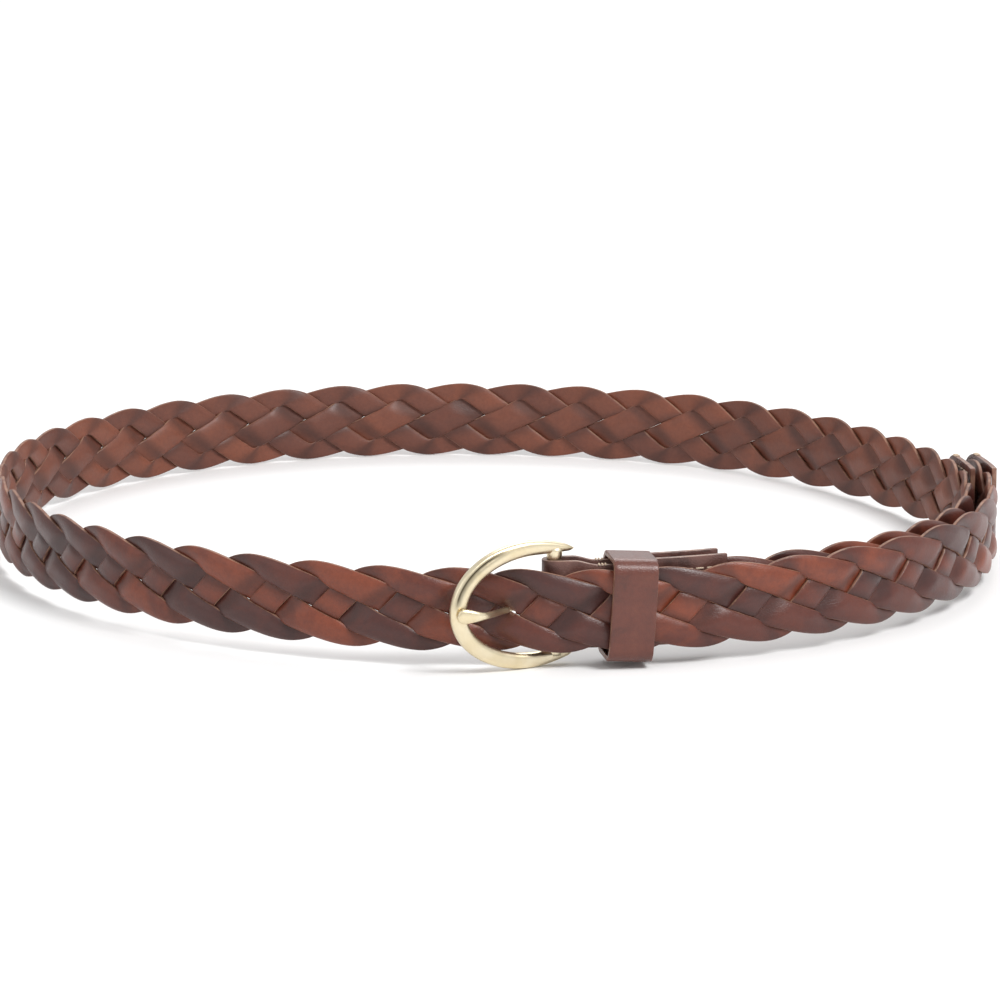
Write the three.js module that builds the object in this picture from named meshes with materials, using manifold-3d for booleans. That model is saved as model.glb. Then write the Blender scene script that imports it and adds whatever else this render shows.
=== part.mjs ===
// A narrow braided leather belt, fastened and standing on its lower edge.
//
// Four leather strips are braided flat and run once round the waist. The belt starts in a folded leather
// tab on the buckle's bar, goes round, passes over the bar and under the frame, through the keeper, and lies
// outside its own first stretch up to the tip. Millimetres, +Z up, the buckle at the front (-Y).
import * as THREE from "three";
import { mergeVertices } from "three/addons/utils/BufferGeometryUtils.js";
import Module from "manifold-3d";

const wasm = await Module();
wasm.setup();

const DEGREE = Math.PI / 180;

// Plan of the belt's loop, an oval on the outer layer's middle line.
const LOOP_LONG_RADIUS = 146;
const LOOP_SHORT_RADIUS = 133;
const LOOP_TURN = -31 * DEGREE;
const BAR_SWEEP = -85.6 * DEGREE;
const ROUTE_STEPS = 720;

// The braid. One repeat is the way of a strand down and up across the strap.
const STRAP_WIDTH = 23;
const STRAND_COUNT = 4;
const STRAND_WIDTH = 6.4;
const STRAND_THICKNESS = 1.6;
const REPEAT_LENGTH = 76;
const FALL_LENGTH = 51;
const PLATEAU_MARGIN = 0.15;
const FALL_LIFT_SHARE = 0.67;
const BRAID_START = 10;
const TAIL_LENGTH = 235;

// Clearances.
const STRAND_GAP = 0.34;
const LEATHER_GAP = 0.3;
const METAL_GAP = 0.3;

// The folded tab on the bar, sewn over the first end of the braid.
const TAB_PLY = 1.5;
const CHAPE_LENGTH = 48.5;
const CHAPE_WIDTH = 22.6;
const CHAPE_DROP = 1;
const PRONG_SLOT_WIDTH = 4.6;
const PRONG_SLOT_LENGTH = 7;

// The folded tab over the free end.
const TIP_LENGTH = 26;
const TIP_NOSE = 9;

// The keeper beside the buckle.
const KEEPER_START = 14.4;
const KEEPER_WIDTH = 12;
const KEEPER_HEIGHT = 28;
const KEEPER_WALL = 1.4;
const KEEPER_CORNER = 2.8;
const KEEPER_LEAN = 3.5 * DEGREE;

// The cast frame, an open horseshoe with its bar.
const FRAME_LENGTH = 33;
const FRAME_HEIGHT = 34.7;
const FRAME_BAND = 4.5;
const FRAME_ARM = 4.1;
const FRAME_CREST = 7.1;
const FRAME_INNER_CREST = 5.5;
const FRAME_THICKNESS = 3.4;
const FRAME_BEVEL = 0.7;
const FRAME_TIP_BAND = 1.9;
const FRAME_TIP_DROP = 2.8;
const FRAME_RISE = 1.4;
const FRAME_SHOULDER = 13.8;
const BAR_RADIUS = 1.7;
const BAR_TO_TIPS = 5;
const BAR_IN_ARM = 1.4;

// The strap is pressed in under the frame's arc.
const PRESS_DEPTH = 2.8;
const PRESS_REACH = 18;
const PRESS_FROM_BAR = 19;

// The prong.
const PRONG_THICKNESS = 1.6;
const PRONG_WIDTH = 1.7;
const PRONG_TIP_WIDTH = 4;
const PRONG_TAPER = 9;
const PRONG_OVERHANG = 0.5;
const PRONG_BEND = 2.3;
const PRONG_DROP = 1.42;
const PRONG_HOLE_FROM_BAR = 12.6;
const PRONG_HOLE_RADIUS = 4.6;

// Fineness of the curves, and the distance below which two corners are one.
const FOLD_STEPS = 6;
const PRONG_STEPS = 22;
const BAR_SIDES = 16;
const WELD_DISTANCE = 1e-4;

// A quarter of an oval as a Bezier curve has handles of this share of its half axes.
const OVAL_HANDLE = 0.5523;

const leather = (colour) =>
  new THREE.MeshStandardMaterial({ color: colour, roughness: 0.48, metalness: 0 });
const brass = (colour) =>
  new THREE.MeshStandardMaterial({ color: colour, roughness: 0.3, metalness: 1 });

const lerp = THREE.MathUtils.lerp;
const smoothstep = THREE.MathUtils.smoothstep;

// Sizes that follow from the braid.
const strandHalf = STRAND_WIDTH / 2;
const waveHeight = STRAP_WIDTH / 2 - strandHalf;
const riseLength = REPEAT_LENGTH - FALL_LENGTH;
const strandPitch = REPEAT_LENGTH / STRAND_COUNT;
const crossingHeight = STRAND_THICKNESS + STRAND_GAP;
const fallLift = crossingHeight * FALL_LIFT_SHARE;
const riseLift = crossingHeight - fallLift;
const braidThickness = 2 * fallLift + STRAND_THICKNESS;
const braidHalf = braidThickness / 2;
const layerSpacing = braidThickness + TAB_PLY + 3 * LEATHER_GAP;
const barInset = braidHalf + LEATHER_GAP + TAB_PLY + METAL_GAP + BAR_RADIUS;
const stackDepth = layerSpacing + braidThickness + 2 * LEATHER_GAP + TAB_PLY;

// Height of the strap's middle above the floor: it rests on its own edge at the back and on the frame in front.
const frontLift = FRAME_HEIGHT / 2 - FRAME_RISE - STRAP_WIDTH / 2;
const loopReach = Math.hypot(
  LOOP_LONG_RADIUS * Math.sin(LOOP_TURN),
  LOOP_SHORT_RADIUS * Math.cos(LOOP_TURN),
);

function strapLevel(y) {
  return STRAP_WIDTH / 2 + (frontLift * (loopReach - y)) / (2 * loopReach);
}

// Point and outward normal of the oval at a sweep angle.
function ovalPoint(sweep) {
  const angle = sweep - LOOP_TURN;
  const centre = new THREE.Vector2(0, 0);
  const point = new THREE.Vector2(
    LOOP_LONG_RADIUS * Math.cos(angle),
    LOOP_SHORT_RADIUS * Math.sin(angle),
  ).rotateAround(centre, LOOP_TURN);
  const normal = new THREE.Vector2(
    Math.cos(angle) / LOOP_LONG_RADIUS,
    Math.sin(angle) / LOOP_SHORT_RADIUS,
  ).rotateAround(centre, LOOP_TURN).normalize();
  return { point, normal };
}

// The oval measured by arc length from the bar, once round.
function measureOval() {
  const samples = [];
  let length = 0;
  let previous = null;
  for (let i = 0; i <= ROUTE_STEPS; i++) {
    const sample = ovalPoint(BAR_SWEEP + (i / ROUTE_STEPS) * 2 * Math.PI);
    if (previous) {
      length += sample.point.distanceTo(previous.point);
    }
    sample.length = length;
    samples.push(sample);
    previous = sample;
  }
  return { samples, length };
}

const oval = measureOval();

// Point and normal at an arc length from the bar, counted on through further laps.
function ovalAt(along) {
  const wanted = ((along % oval.length) + oval.length) % oval.length;
  let low = 0;
  let high = oval.samples.length - 1;
  while (high - low > 1) {
    const middle = (low + high) >> 1;
    if (oval.samples[middle].length <= wanted) {
      low = middle;
    } else {
      high = middle;
    }
  }
  const a = oval.samples[low];
  const b = oval.samples[high];
  const share = (wanted - a.length) / (b.length - a.length);
  return {
    point: a.point.clone().lerp(b.point, share),
    normal: a.normal.clone().lerp(b.normal, share).normalize(),
  };
}

// Plan position at an arc length, moved inwards from the outer layer's middle line.
function planPoint(along, inward) {
  const { point, normal } = ovalAt(along);
  return point.addScaledVector(normal, -inward);
}

// The first stretch lies inside the free end and moves out to the oval beyond the tip.
const innerEnd = TAIL_LENGTH + 2 * TIP_NOSE;
const innerBlend = TAIL_LENGTH / 2;

function pressedInset(along) {
  const away = Math.abs(along - oval.length + PRESS_FROM_BAR) / PRESS_REACH;
  return away < 1 ? PRESS_DEPTH * Math.cos((away * Math.PI) / 2) ** 2 : 0;
}

function routeInset(along) {
  return layerSpacing * (1 - smoothstep(along, innerEnd, innerEnd + innerBlend)) + pressedInset(along);
}

const braidEnd = oval.length + TAIL_LENGTH;
const prongHole = oval.length - PRONG_HOLE_FROM_BAR;

function spreadAtProng(along, across) {
  const dx = along - prongHole;
  const reach = Math.hypot(dx, across);
  const pushed = Math.cbrt(reach ** 3 + PRONG_HOLE_RADIUS ** 3);
  const scale = reach > 0 ? pushed / reach : 1;
  return { along: prongHole + dx * scale, across: across * scale };
}

// World position of a braid point: arc length, height across the strap, outward lift.
function braidPoint(along, across, lift) {
  const spread = spreadAtProng(along, across);
  const plan = planPoint(spread.along, routeInset(spread.along) - lift);
  return new THREE.Vector3(plan.x, plan.y, strapLevel(plan.y) + spread.across);
}

// One strand's wave. Its crossings with the others lie a quarter, a half and three quarters down and up.
const ROWS = [
  { fallShare: 0.25, outside: "fall" },
  { fallShare: 0.5, outside: "rise" },
  { fallShare: 0.75, outside: "fall" },
];

// Corners of the diamond in which a falling and a rising strand lie on each other, round its middle.
function crossingDiamond(fallShare) {
  const steepness = waveHeight * Math.PI * Math.sin(Math.PI * fallShare);
  const fall = new THREE.Vector2(1, -steepness / FALL_LENGTH).normalize();
  const rise = new THREE.Vector2(1, steepness / riseLength).normalize();
  const side = strandHalf / fall.cross(rise);
  const right = fall.clone().add(rise).multiplyScalar(side);
  const top = rise.clone().sub(fall).multiplyScalar(side);
  return { fall, rise, right, top, left: right.clone().negate(), bottom: top.clone().negate() };
}

// One cut across a strand. Its split tells along which diagonal the faces up to the next cut are divided.
function station(centre, upper, lower, shift, lift, split) {
  return {
    upper: centre.clone().add(upper).add(shift),
    lower: centre.clone().add(lower).add(shift),
    lift,
    split,
  };
}

function crossingStations(rowEntry, falling) {
  const share = falling ? rowEntry.fallShare : 1 - rowEntry.fallShare;
  const x = falling ? FALL_LENGTH * share : FALL_LENGTH + riseLength * share;
  const centre = new THREE.Vector2(x, waveHeight * Math.cos(Math.PI * rowEntry.fallShare));
  const diamond = crossingDiamond(rowEntry.fallShare);
  const outside = (rowEntry.outside === "fall") === falling;
  const lift = (outside ? 1 : -1) * (falling ? fallLift : riseLift);
  const way = (falling ? diamond.fall : diamond.rise).clone().multiplyScalar(PLATEAU_MARGIN);
  const back = way.clone().negate();
  if (falling) {
    return [
      station(centre, diamond.top, diamond.left, back, lift, "down"),
      station(centre, diamond.right, diamond.bottom, way, lift, "down"),
    ];
  }
  return [
    station(centre, diamond.left, diamond.bottom, back, lift, "up"),
    station(centre, diamond.top, diamond.right, way, lift, "down"),
  ];
}

// Stations round the top turn: place on the rim, and share of the way from the last crossing to the next.
const TURN = [
  { rim: -0.14, share: 0.2 },
  { rim: 0.005, share: 0.5 },
  { rim: 0.11, share: 0.8 },
];

function rimPoint(rim) {
  const length = rim < 0 ? riseLength : FALL_LENGTH;
  const slope = (-waveHeight * Math.PI * Math.sin(Math.PI * rim)) / length;
  const normal = new THREE.Vector2(-slope, 1).normalize();
  return new THREE.Vector2(rim * length, waveHeight * Math.cos(Math.PI * rim))
    .addScaledVector(normal, strandHalf);
}

function turnStations(before, after) {
  return TURN.map(({ rim, share }) => ({
    upper: rimPoint(rim),
    lower: before.lower.clone().lerp(after.lower, share),
    lift: lerp(before.lift, after.lift, share),
    split: "down",
  }));
}

// The bottom turn is the top turn turned half round about the middle of the fall.
function halfTurn(entry) {
  const about = (p) => new THREE.Vector2(FALL_LENGTH - p.x, -p.y);
  return { upper: about(entry.lower), lower: about(entry.upper), lift: entry.lift, split: "down" };
}

function repeatStations() {
  const fall = ROWS.flatMap((entry) => crossingStations(entry, true));
  const rise = [...ROWS].reverse().flatMap((entry) => crossingStations(entry, false));
  const lastRise = rise[rise.length - 1];
  const before = { ...lastRise, lower: lastRise.lower.clone().setX(lastRise.lower.x - REPEAT_LENGTH) };
  const topTurn = turnStations(before, fall[0]);
  const bottomTurn = topTurn.map(halfTurn).reverse();
  return [...topTurn, ...fall, ...bottomTurn, ...rise];
}

// Closed strip through the stations, four corners each.
function strandGeometry(index) {
  const pattern = repeatStations();
  const phase = prongHole - strandPitch / 2 - FALL_LENGTH / 2 - index * strandPitch;
  const firstRepeat = Math.floor((BRAID_START - phase) / REPEAT_LENGTH) - 1;
  const lastRepeat = Math.ceil((braidEnd - phase) / REPEAT_LENGTH) + 1;
  const sections = [];
  for (let repeat = firstRepeat; repeat <= lastRepeat; repeat++) {
    const shift = phase + repeat * REPEAT_LENGTH;
    for (const entry of pattern) {
      const first = Math.min(entry.upper.x, entry.lower.x) + shift;
      const last = Math.max(entry.upper.x, entry.lower.x) + shift;
      if (first >= BRAID_START && last <= braidEnd) {
        sections.push({ entry, shift });
      }
    }
  }
  const vertices = [];
  for (const { entry, shift } of sections) {
    for (const side of [1, -1]) {
      const lift = entry.lift + (side * STRAND_THICKNESS) / 2;
      vertices.push(braidPoint(entry.upper.x + shift, entry.upper.y, lift));
      vertices.push(braidPoint(entry.lower.x + shift, entry.lower.y, lift));
    }
  }
  // Corner order round a section: outer upper, inner upper, inner lower, outer lower.
  const ring = [0, 2, 3, 1];
  const triangles = [];
  const quad = (a, b, c, d, split) => {
    if (split === "down") {
      triangles.push(a, c, b, a, d, c);
    } else {
      triangles.push(a, d, b, b, d, c);
    }
  };
  for (let i = 0; i + 1 < sections.length; i++) {
    for (let k = 0; k < 4; k++) {
      const a = i * 4 + ring[k];
      const b = i * 4 + ring[(k + 1) % 4];
      const c = (i + 1) * 4 + ring[(k + 1) % 4];
      const d = (i + 1) * 4 + ring[k];
      const outerFace = k === ring.length - 1;
      const splitDown = sections[i].entry.split === "down";
      quad(a, b, c, d, splitDown === outerFace ? "up" : "down");
    }
  }
  const last = (sections.length - 1) * 4;
  triangles.push(ring[0], ring[1], ring[2], ring[0], ring[2], ring[3]);
  triangles.push(last + ring[0], last + ring[2], last + ring[1]);
  triangles.push(last + ring[0], last + ring[3], last + ring[2]);
  return facesOf(vertices, triangles);
}

function facesOf(vertices, triangles) {
  const geometry = new THREE.BufferGeometry();
  geometry.setAttribute("position", new THREE.Float32BufferAttribute(vertices.flatMap((v) => v.toArray()), 3));
  geometry.setIndex(triangles);
  geometry.computeVertexNormals();
  return geometry;
}

// Solids for cutting and joining.
function toSolid(geometry) {
  const bare = geometry.clone();
  bare.deleteAttribute("normal");
  bare.deleteAttribute("uv");
  const merged = mergeVertices(bare, WELD_DISTANCE);
  return new wasm.Manifold(new wasm.Mesh({
    numProp: 3,
    vertProperties: new Float32Array(merged.attributes.position.array),
    triVerts: new Uint32Array(merged.index.array),
  }));
}

function toGeometry(solid) {
  const mesh = solid.getMesh();
  const geometry = new THREE.BufferGeometry();
  geometry.setAttribute("position", new THREE.BufferAttribute(new Float32Array(mesh.vertProperties), 3));
  geometry.setIndex(new THREE.BufferAttribute(new Uint32Array(mesh.triVerts), 1));
  geometry.computeVertexNormals();
  return geometry;
}

function extrude(shape, depth, options = {}) {
  return new THREE.ExtrudeGeometry(shape, { depth, bevelEnabled: false, curveSegments: 10, ...options });
}

// A folded tab in plan: two plies from the fold, closed round it, brought to the braid over the first third.
function foldedPlan(foldAt, foldRadius, openAt, halfGap, ply, inset) {
  const away = Math.sign(openAt - foldAt);
  const outline = (radius, gap) => {
    const points = [];
    const arm = (side) => {
      const row = [];
      for (let i = 0; i <= FOLD_STEPS; i++) {
        const share = i / FOLD_STEPS;
        const along = lerp(foldAt, openAt, share);
        const offset = lerp(radius, gap, Math.min(1, share * 3));
        row.push(planPoint(along, inset(along) + side * offset));
      }
      return row;
    };
    points.push(...arm(-1).reverse());
    for (let i = 1; i < 2 * FOLD_STEPS; i++) {
      const angle = (i / (2 * FOLD_STEPS)) * Math.PI;
      const along = foldAt - away * radius * Math.sin(angle);
      points.push(planPoint(along, inset(along) - radius * Math.cos(angle)));
    }
    points.push(...arm(1));
    return points;
  };
  const outer = outline(foldRadius + ply, halfGap + ply);
  const inner = outline(foldRadius, halfGap);
  return new THREE.Shape([...outer, ...inner.reverse()]);
}

// Directions at the bar: the strap's way to the right there, and the frame's middle height.
const barNormal = ovalAt(0).normal;
const barHeading = Math.atan2(barNormal.x, -barNormal.y);
const buckleLevel = FRAME_HEIGHT / 2;

// The chape's middle line leaves the bar and joins the inner layer's.
const chapeInset = (along) => lerp(barInset, layerSpacing, smoothstep(along, 0, BRAID_START));

function chapeGeometry() {
  const plan = foldedPlan(0, BAR_RADIUS + METAL_GAP, CHAPE_LENGTH, braidHalf + LEATHER_GAP, TAB_PLY, chapeInset);
  const level = buckleLevel - CHAPE_DROP;
  const tab = extrude(plan, CHAPE_WIDTH).translate(0, 0, level - CHAPE_WIDTH / 2);
  const reach = 2 * (BAR_RADIUS + METAL_GAP + TAB_PLY);
  const slot = new THREE.BoxGeometry(2 * PRONG_SLOT_LENGTH, reach + 2 * TAB_PLY, PRONG_SLOT_WIDTH);
  const bar = planPoint(0, barInset);
  slot.rotateZ(barHeading);
  slot.translate(bar.x, bar.y, buckleLevel - PRONG_DROP);
  return toGeometry(toSolid(tab).subtract(toSolid(slot)));
}

const tipFold = braidEnd + LEATHER_GAP;
const tipInset = () => 0;

function tipGeometry() {
  const plan = foldedPlan(tipFold, braidHalf, tipFold - TIP_LENGTH, braidHalf + LEATHER_GAP, TAB_PLY, tipInset);
  const width = CHAPE_WIDTH;
  const level = strapLevel(planPoint(tipFold, 0).y);
  const tab = extrude(plan, width).translate(0, 0, level - width / 2);
  // The nose is rounded off above and below.
  const end = ovalAt(tipFold - TIP_NOSE + braidHalf + TAB_PLY);
  const heading = Math.atan2(end.normal.x, -end.normal.y);
  const outline = new THREE.Shape();
  outline.moveTo(-TIP_LENGTH, -width);
  outline.lineTo(-TIP_LENGTH, width);
  outline.lineTo(0, width / 2);
  outline.absellipse(0, 0, TIP_NOSE, width / 2, Math.PI / 2, -Math.PI / 2, true);
  outline.lineTo(-TIP_LENGTH, -width);
  const nose = extrude(outline, 4 * braidThickness, { curveSegments: 8 });
  nose.translate(0, 0, -2 * braidThickness);
  nose.rotateX(Math.PI / 2);
  nose.rotateZ(heading);
  nose.translate(end.point.x, end.point.y, level);
  return toGeometry(toSolid(tab).intersect(toSolid(nose)));
}

// Buckle coordinates: x along the strap from the bar, y inwards from the outer layer's middle, z from the middle.
function placeAtBar(mesh) {
  const { point } = ovalAt(0);
  mesh.position.set(point.x, point.y, buckleLevel);
  mesh.rotation.z = barHeading;
  return mesh;
}

// The frame leans: its left arc lies outside the strap, its bar inside.
const shoulder = -FRAME_SHOULDER;
const strapAtShoulder = localPlan(oval.length + shoulder, routeInset(oval.length + shoulder)).y;
const shoulderDepth = strapAtShoulder - braidHalf - METAL_GAP - FRAME_THICKNESS / 2;
const frameLean = Math.atan2(barInset - shoulderDepth, -shoulder);
const arcMiddle = BAR_TO_TIPS - FRAME_LENGTH + FRAME_BAND / 2;
const arcDepth = barInset + arcMiddle * Math.tan(frameLean);

// A plan point of the belt in buckle coordinates.
function localPlan(along, inward) {
  const world = planPoint(along, inward);
  return world.sub(ovalAt(0).point).rotateAround(new THREE.Vector2(0, 0), -barHeading);
}

function frameOutline() {
  const half = FRAME_HEIGHT / 2;
  const inner = half - FRAME_ARM;
  const slope = Math.cos(frameLean);
  const tips = BAR_TO_TIPS / slope;
  const left = (BAR_TO_TIPS - FRAME_LENGTH) / slope;
  const crest = -FRAME_CREST / slope;
  const innerLeft = left + FRAME_BAND;
  const innerCrest = -FRAME_INNER_CREST / slope;
  const tip = half - FRAME_TIP_DROP;
  const handle = lerp(tips, crest, 1 / 3);
  const crestHandle = lerp(crest, tips, 1 / 3);
  const tipHandle = half - 0.4 * FRAME_TIP_DROP;
  const side = lerp(crest, left, OVAL_HANDLE);
  const innerSide = lerp(innerCrest, innerLeft, OVAL_HANDLE);
  const shape = new THREE.Shape();
  shape.moveTo(tips, tip);
  shape.bezierCurveTo(handle, tipHandle, crestHandle, half, crest, half);
  shape.bezierCurveTo(side, half, left, half * OVAL_HANDLE, left, 0);
  shape.bezierCurveTo(left, -half * OVAL_HANDLE, side, -half, crest, -half);
  shape.bezierCurveTo(crestHandle, -half, handle, -tipHandle, tips, -tip);
  shape.lineTo(tips, -tip + FRAME_TIP_BAND);
  shape.lineTo(innerCrest, -inner);
  shape.bezierCurveTo(innerSide, -inner, innerLeft, -inner * OVAL_HANDLE, innerLeft, 0);
  shape.bezierCurveTo(innerLeft, inner * OVAL_HANDLE, innerSide, inner, innerCrest, inner);
  shape.lineTo(tips, tip - FRAME_TIP_BAND);
  shape.closePath();
  return shape;
}

function frameGeometry() {
  const bevel = {
    bevelEnabled: true,
    bevelThickness: FRAME_BEVEL,
    bevelSize: FRAME_BEVEL,
    bevelOffset: -FRAME_BEVEL,
    bevelSegments: 1,
    curveSegments: 9,
  };
  const flat = FRAME_THICKNESS - 2 * FRAME_BEVEL;
  const horseshoe = extrude(frameOutline(), flat, bevel).translate(0, 0, -flat / 2);
  horseshoe.rotateX(Math.PI / 2);
  horseshoe.rotateZ(frameLean);
  horseshoe.translate(0, barInset, 0);
  const barLength = FRAME_HEIGHT - 2 * FRAME_ARM + 2 * BAR_IN_ARM;
  const bar = new THREE.CylinderGeometry(BAR_RADIUS, BAR_RADIUS, barLength, BAR_SIDES).rotateX(Math.PI / 2);
  bar.translate(0, barInset, 0);
  return toGeometry(toSolid(horseshoe).add(toSolid(bar)));
}

// The prong in plan: its eye round the bar, behind the strap, out through the braid, and over the frame's arc.
function prongPlan() {
  const half = PRONG_THICKNESS / 2;
  const eye = BAR_RADIUS + METAL_GAP;
  const rim = eye + 0.7 * PRONG_THICKNESS;
  const hole = localPlan(prongHole, routeInset(prongHole));
  const behind = hole.y + braidHalf + LEATHER_GAP + half;
  const before = hole.y - braidHalf - LEATHER_GAP - half;
  const onArc = arcDepth - (FRAME_THICKNESS / 2 + METAL_GAP + half) / Math.cos(frameLean) - METAL_GAP;
  const tip = BAR_TO_TIPS - FRAME_LENGTH - PRONG_OVERHANG + FRAME_BAND / 2;
  const steep = 0.2 * PRONG_BEND;
  const way = [
    new THREE.Vector2(-eye - 0.7 * half, barInset),
    new THREE.Vector2(-rim - PRONG_BEND, lerp(barInset, behind, 3 / 4)),
    new THREE.Vector2(hole.x + PRONG_BEND, behind),
    new THREE.Vector2(hole.x + steep, lerp(hole.y, behind, 1 / 4)),
    new THREE.Vector2(hole.x - steep, lerp(hole.y, before, 1 / 4)),
    new THREE.Vector2(hole.x - PRONG_BEND, before),
    new THREE.Vector2(lerp(hole.x, tip, 1 / 2), lerp(before, onArc, 3 / 4)),
    new THREE.Vector2(tip, onArc),
  ];
  const curve = new THREE.SplineCurve(way);
  const upper = [];
  const lower = [];
  for (let i = 0; i <= PRONG_STEPS; i++) {
    const at = curve.getPoint(i / PRONG_STEPS);
    const side = curve.getTangent(i / PRONG_STEPS).rotateAround(new THREE.Vector2(0, 0), Math.PI / 2);
    upper.push(at.clone().addScaledVector(side, half));
    lower.push(at.clone().addScaledVector(side, -half));
  }
  return { strip: new THREE.Shape([...upper, ...lower.reverse()]), eye, rim, tip };
}

// Seen from the front: a slim shank that widens to a blunt tip.
function prongFace(rim, tip) {
  const half = PRONG_WIDTH / 2;
  const broad = PRONG_TIP_WIDTH / 2;
  const back = 2 * rim;
  const neck = tip + PRONG_TAPER;
  const handle = PRONG_TAPER / 2;
  const face = new THREE.Shape();
  face.moveTo(back, -half);
  face.lineTo(back, half);
  face.lineTo(neck, half);
  face.bezierCurveTo(neck - handle, half, tip + handle, broad, tip + broad, broad);
  face.bezierCurveTo(tip, broad, tip, -broad, tip + broad, -broad);
  face.bezierCurveTo(tip + handle, -broad, neck - handle, -half, neck, -half);
  face.closePath();
  return face;
}

function prongGeometry() {
  const { strip, eye, rim, tip } = prongPlan();
  const width = PRONG_TIP_WIDTH;
  const round = { curveSegments: 12 };
  const disc = (radius) => new THREE.Shape().absarc(0, barInset, radius, 0, 2 * Math.PI, false);
  const blade = toSolid(extrude(strip, width)).add(toSolid(extrude(disc(rim), width, round)));
  const bore = toSolid(extrude(disc(eye), 3 * width, round).translate(0, 0, -width));
  const side = blade.subtract(bore).translate([0, 0, -width / 2]);
  const reach = 2 * FRAME_LENGTH;
  const plate = extrude(prongFace(rim, tip), reach).translate(0, 0, -reach / 2).rotateX(Math.PI / 2);
  return toGeometry(side.intersect(toSolid(plate)).translate([0, 0, -PRONG_DROP]));
}

// The keeper: a leather band round both layers, closed on itself.
function roundedBox(width, height, corner) {
  const x = width / 2;
  const y = height / 2;
  const shape = new THREE.Shape();
  shape.moveTo(-x + corner, -y);
  shape.lineTo(x - corner, -y);
  shape.absarc(x - corner, -y + corner, corner, -Math.PI / 2, 0, false);
  shape.lineTo(x, y - corner);
  shape.absarc(x - corner, y - corner, corner, 0, Math.PI / 2, false);
  shape.lineTo(-x + corner, y);
  shape.absarc(-x + corner, y - corner, corner, Math.PI / 2, Math.PI, false);
  shape.lineTo(-x, -y + corner);
  shape.absarc(-x + corner, -y + corner, corner, Math.PI, 1.5 * Math.PI, false);
  return shape;
}

const keeperDepth = stackDepth + 2 * KEEPER_WALL + 3 * LEATHER_GAP;

function keeperGeometry() {
  const ring = roundedBox(keeperDepth, KEEPER_HEIGHT, KEEPER_CORNER);
  const innerCorner = KEEPER_CORNER - KEEPER_WALL;
  const inner = roundedBox(keeperDepth - 2 * KEEPER_WALL, KEEPER_HEIGHT - 2 * KEEPER_WALL, innerCorner);
  ring.holes.push(inner);
  const band = extrude(ring, KEEPER_WIDTH, { curveSegments: 4 }).translate(0, 0, -KEEPER_WIDTH / 2);
  return band.rotateX(Math.PI / 2).rotateZ(Math.PI / 2);
}

function placeKeeper(mesh) {
  const middle = KEEPER_START + KEEPER_WIDTH / 2;
  const { normal } = ovalAt(middle);
  const plan = planPoint(middle, stackDepth / 2 - braidHalf);
  mesh.position.set(plan.x, plan.y, strapLevel(plan.y));
  mesh.rotation.set(0, KEEPER_LEAN, Math.atan2(normal.x, -normal.y), "ZYX");
  return mesh;
}

const belt = new THREE.Group();

function addPiece(name, geometry, material, place = (mesh) => mesh) {
  const mesh = new THREE.Mesh(geometry, material);
  mesh.name = name;
  belt.add(place(mesh));
}

const STRAND_COLOURS = [0x7a3f2b, 0x85472e, 0x6e382b, 0x7f4330];
STRAND_COLOURS.forEach((colour, index) => {
  addPiece(`strand_${index + 1}`, strandGeometry(index), leather(colour));
});
addPiece("chape", chapeGeometry(), leather(0x6b3726));
addPiece("tip_tab", tipGeometry(), leather(0x6b3726));
addPiece("keeper_loop", keeperGeometry(), leather(0x74402e), placeKeeper);
addPiece("buckle_frame", frameGeometry(), brass(0xcdb98a), placeAtBar);
addPiece("prong", prongGeometry(), brass(0xcdb98a), placeAtBar);

// The origin is under the middle of the whole belt, on the floor.
const group = new THREE.Group();
belt.updateMatrixWorld(true);
const extent = new THREE.Box3().setFromObject(belt, true);
const middle = extent.getCenter(new THREE.Vector3());
belt.position.set(-middle.x, -middle.y, -extent.min.z);
group.add(belt);

export default group;
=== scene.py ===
"""Visual model of a narrow braided leather belt, fastened and standing on its lower edge.

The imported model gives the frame. Every soft piece is rebuilt here with a finer surface on the same route and
with the same weave, and the cast frame and its prong get rounded forms. Lengths are written in millimetres
and turned into metres where a mesh is made.
"""
import logging
import math
from dataclasses import dataclass
from enum import Enum

import bpy
import numpy as np
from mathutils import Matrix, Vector


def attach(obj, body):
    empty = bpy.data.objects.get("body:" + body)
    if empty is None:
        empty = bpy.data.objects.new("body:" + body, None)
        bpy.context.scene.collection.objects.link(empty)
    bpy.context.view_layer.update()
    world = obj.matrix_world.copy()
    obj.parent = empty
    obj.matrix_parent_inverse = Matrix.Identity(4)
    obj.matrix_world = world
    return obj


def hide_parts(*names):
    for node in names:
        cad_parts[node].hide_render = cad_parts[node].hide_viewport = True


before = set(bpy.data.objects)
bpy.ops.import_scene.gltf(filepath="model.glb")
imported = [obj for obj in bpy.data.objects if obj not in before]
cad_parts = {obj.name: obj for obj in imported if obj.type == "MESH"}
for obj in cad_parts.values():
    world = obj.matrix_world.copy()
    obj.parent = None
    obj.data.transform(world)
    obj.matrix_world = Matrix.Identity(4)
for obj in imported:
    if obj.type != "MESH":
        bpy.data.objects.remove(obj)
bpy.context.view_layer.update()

LOG = logging.getLogger("belt")
MM = 0.001
SEED = 20417
TINY = 1e-6


class Slot(Enum):
    """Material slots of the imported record."""

    STRAND = "strand_leather"
    TAB = "tab_leather"
    KEEPER = "keeper_leather"
    METAL = "buckle_metal"


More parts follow.
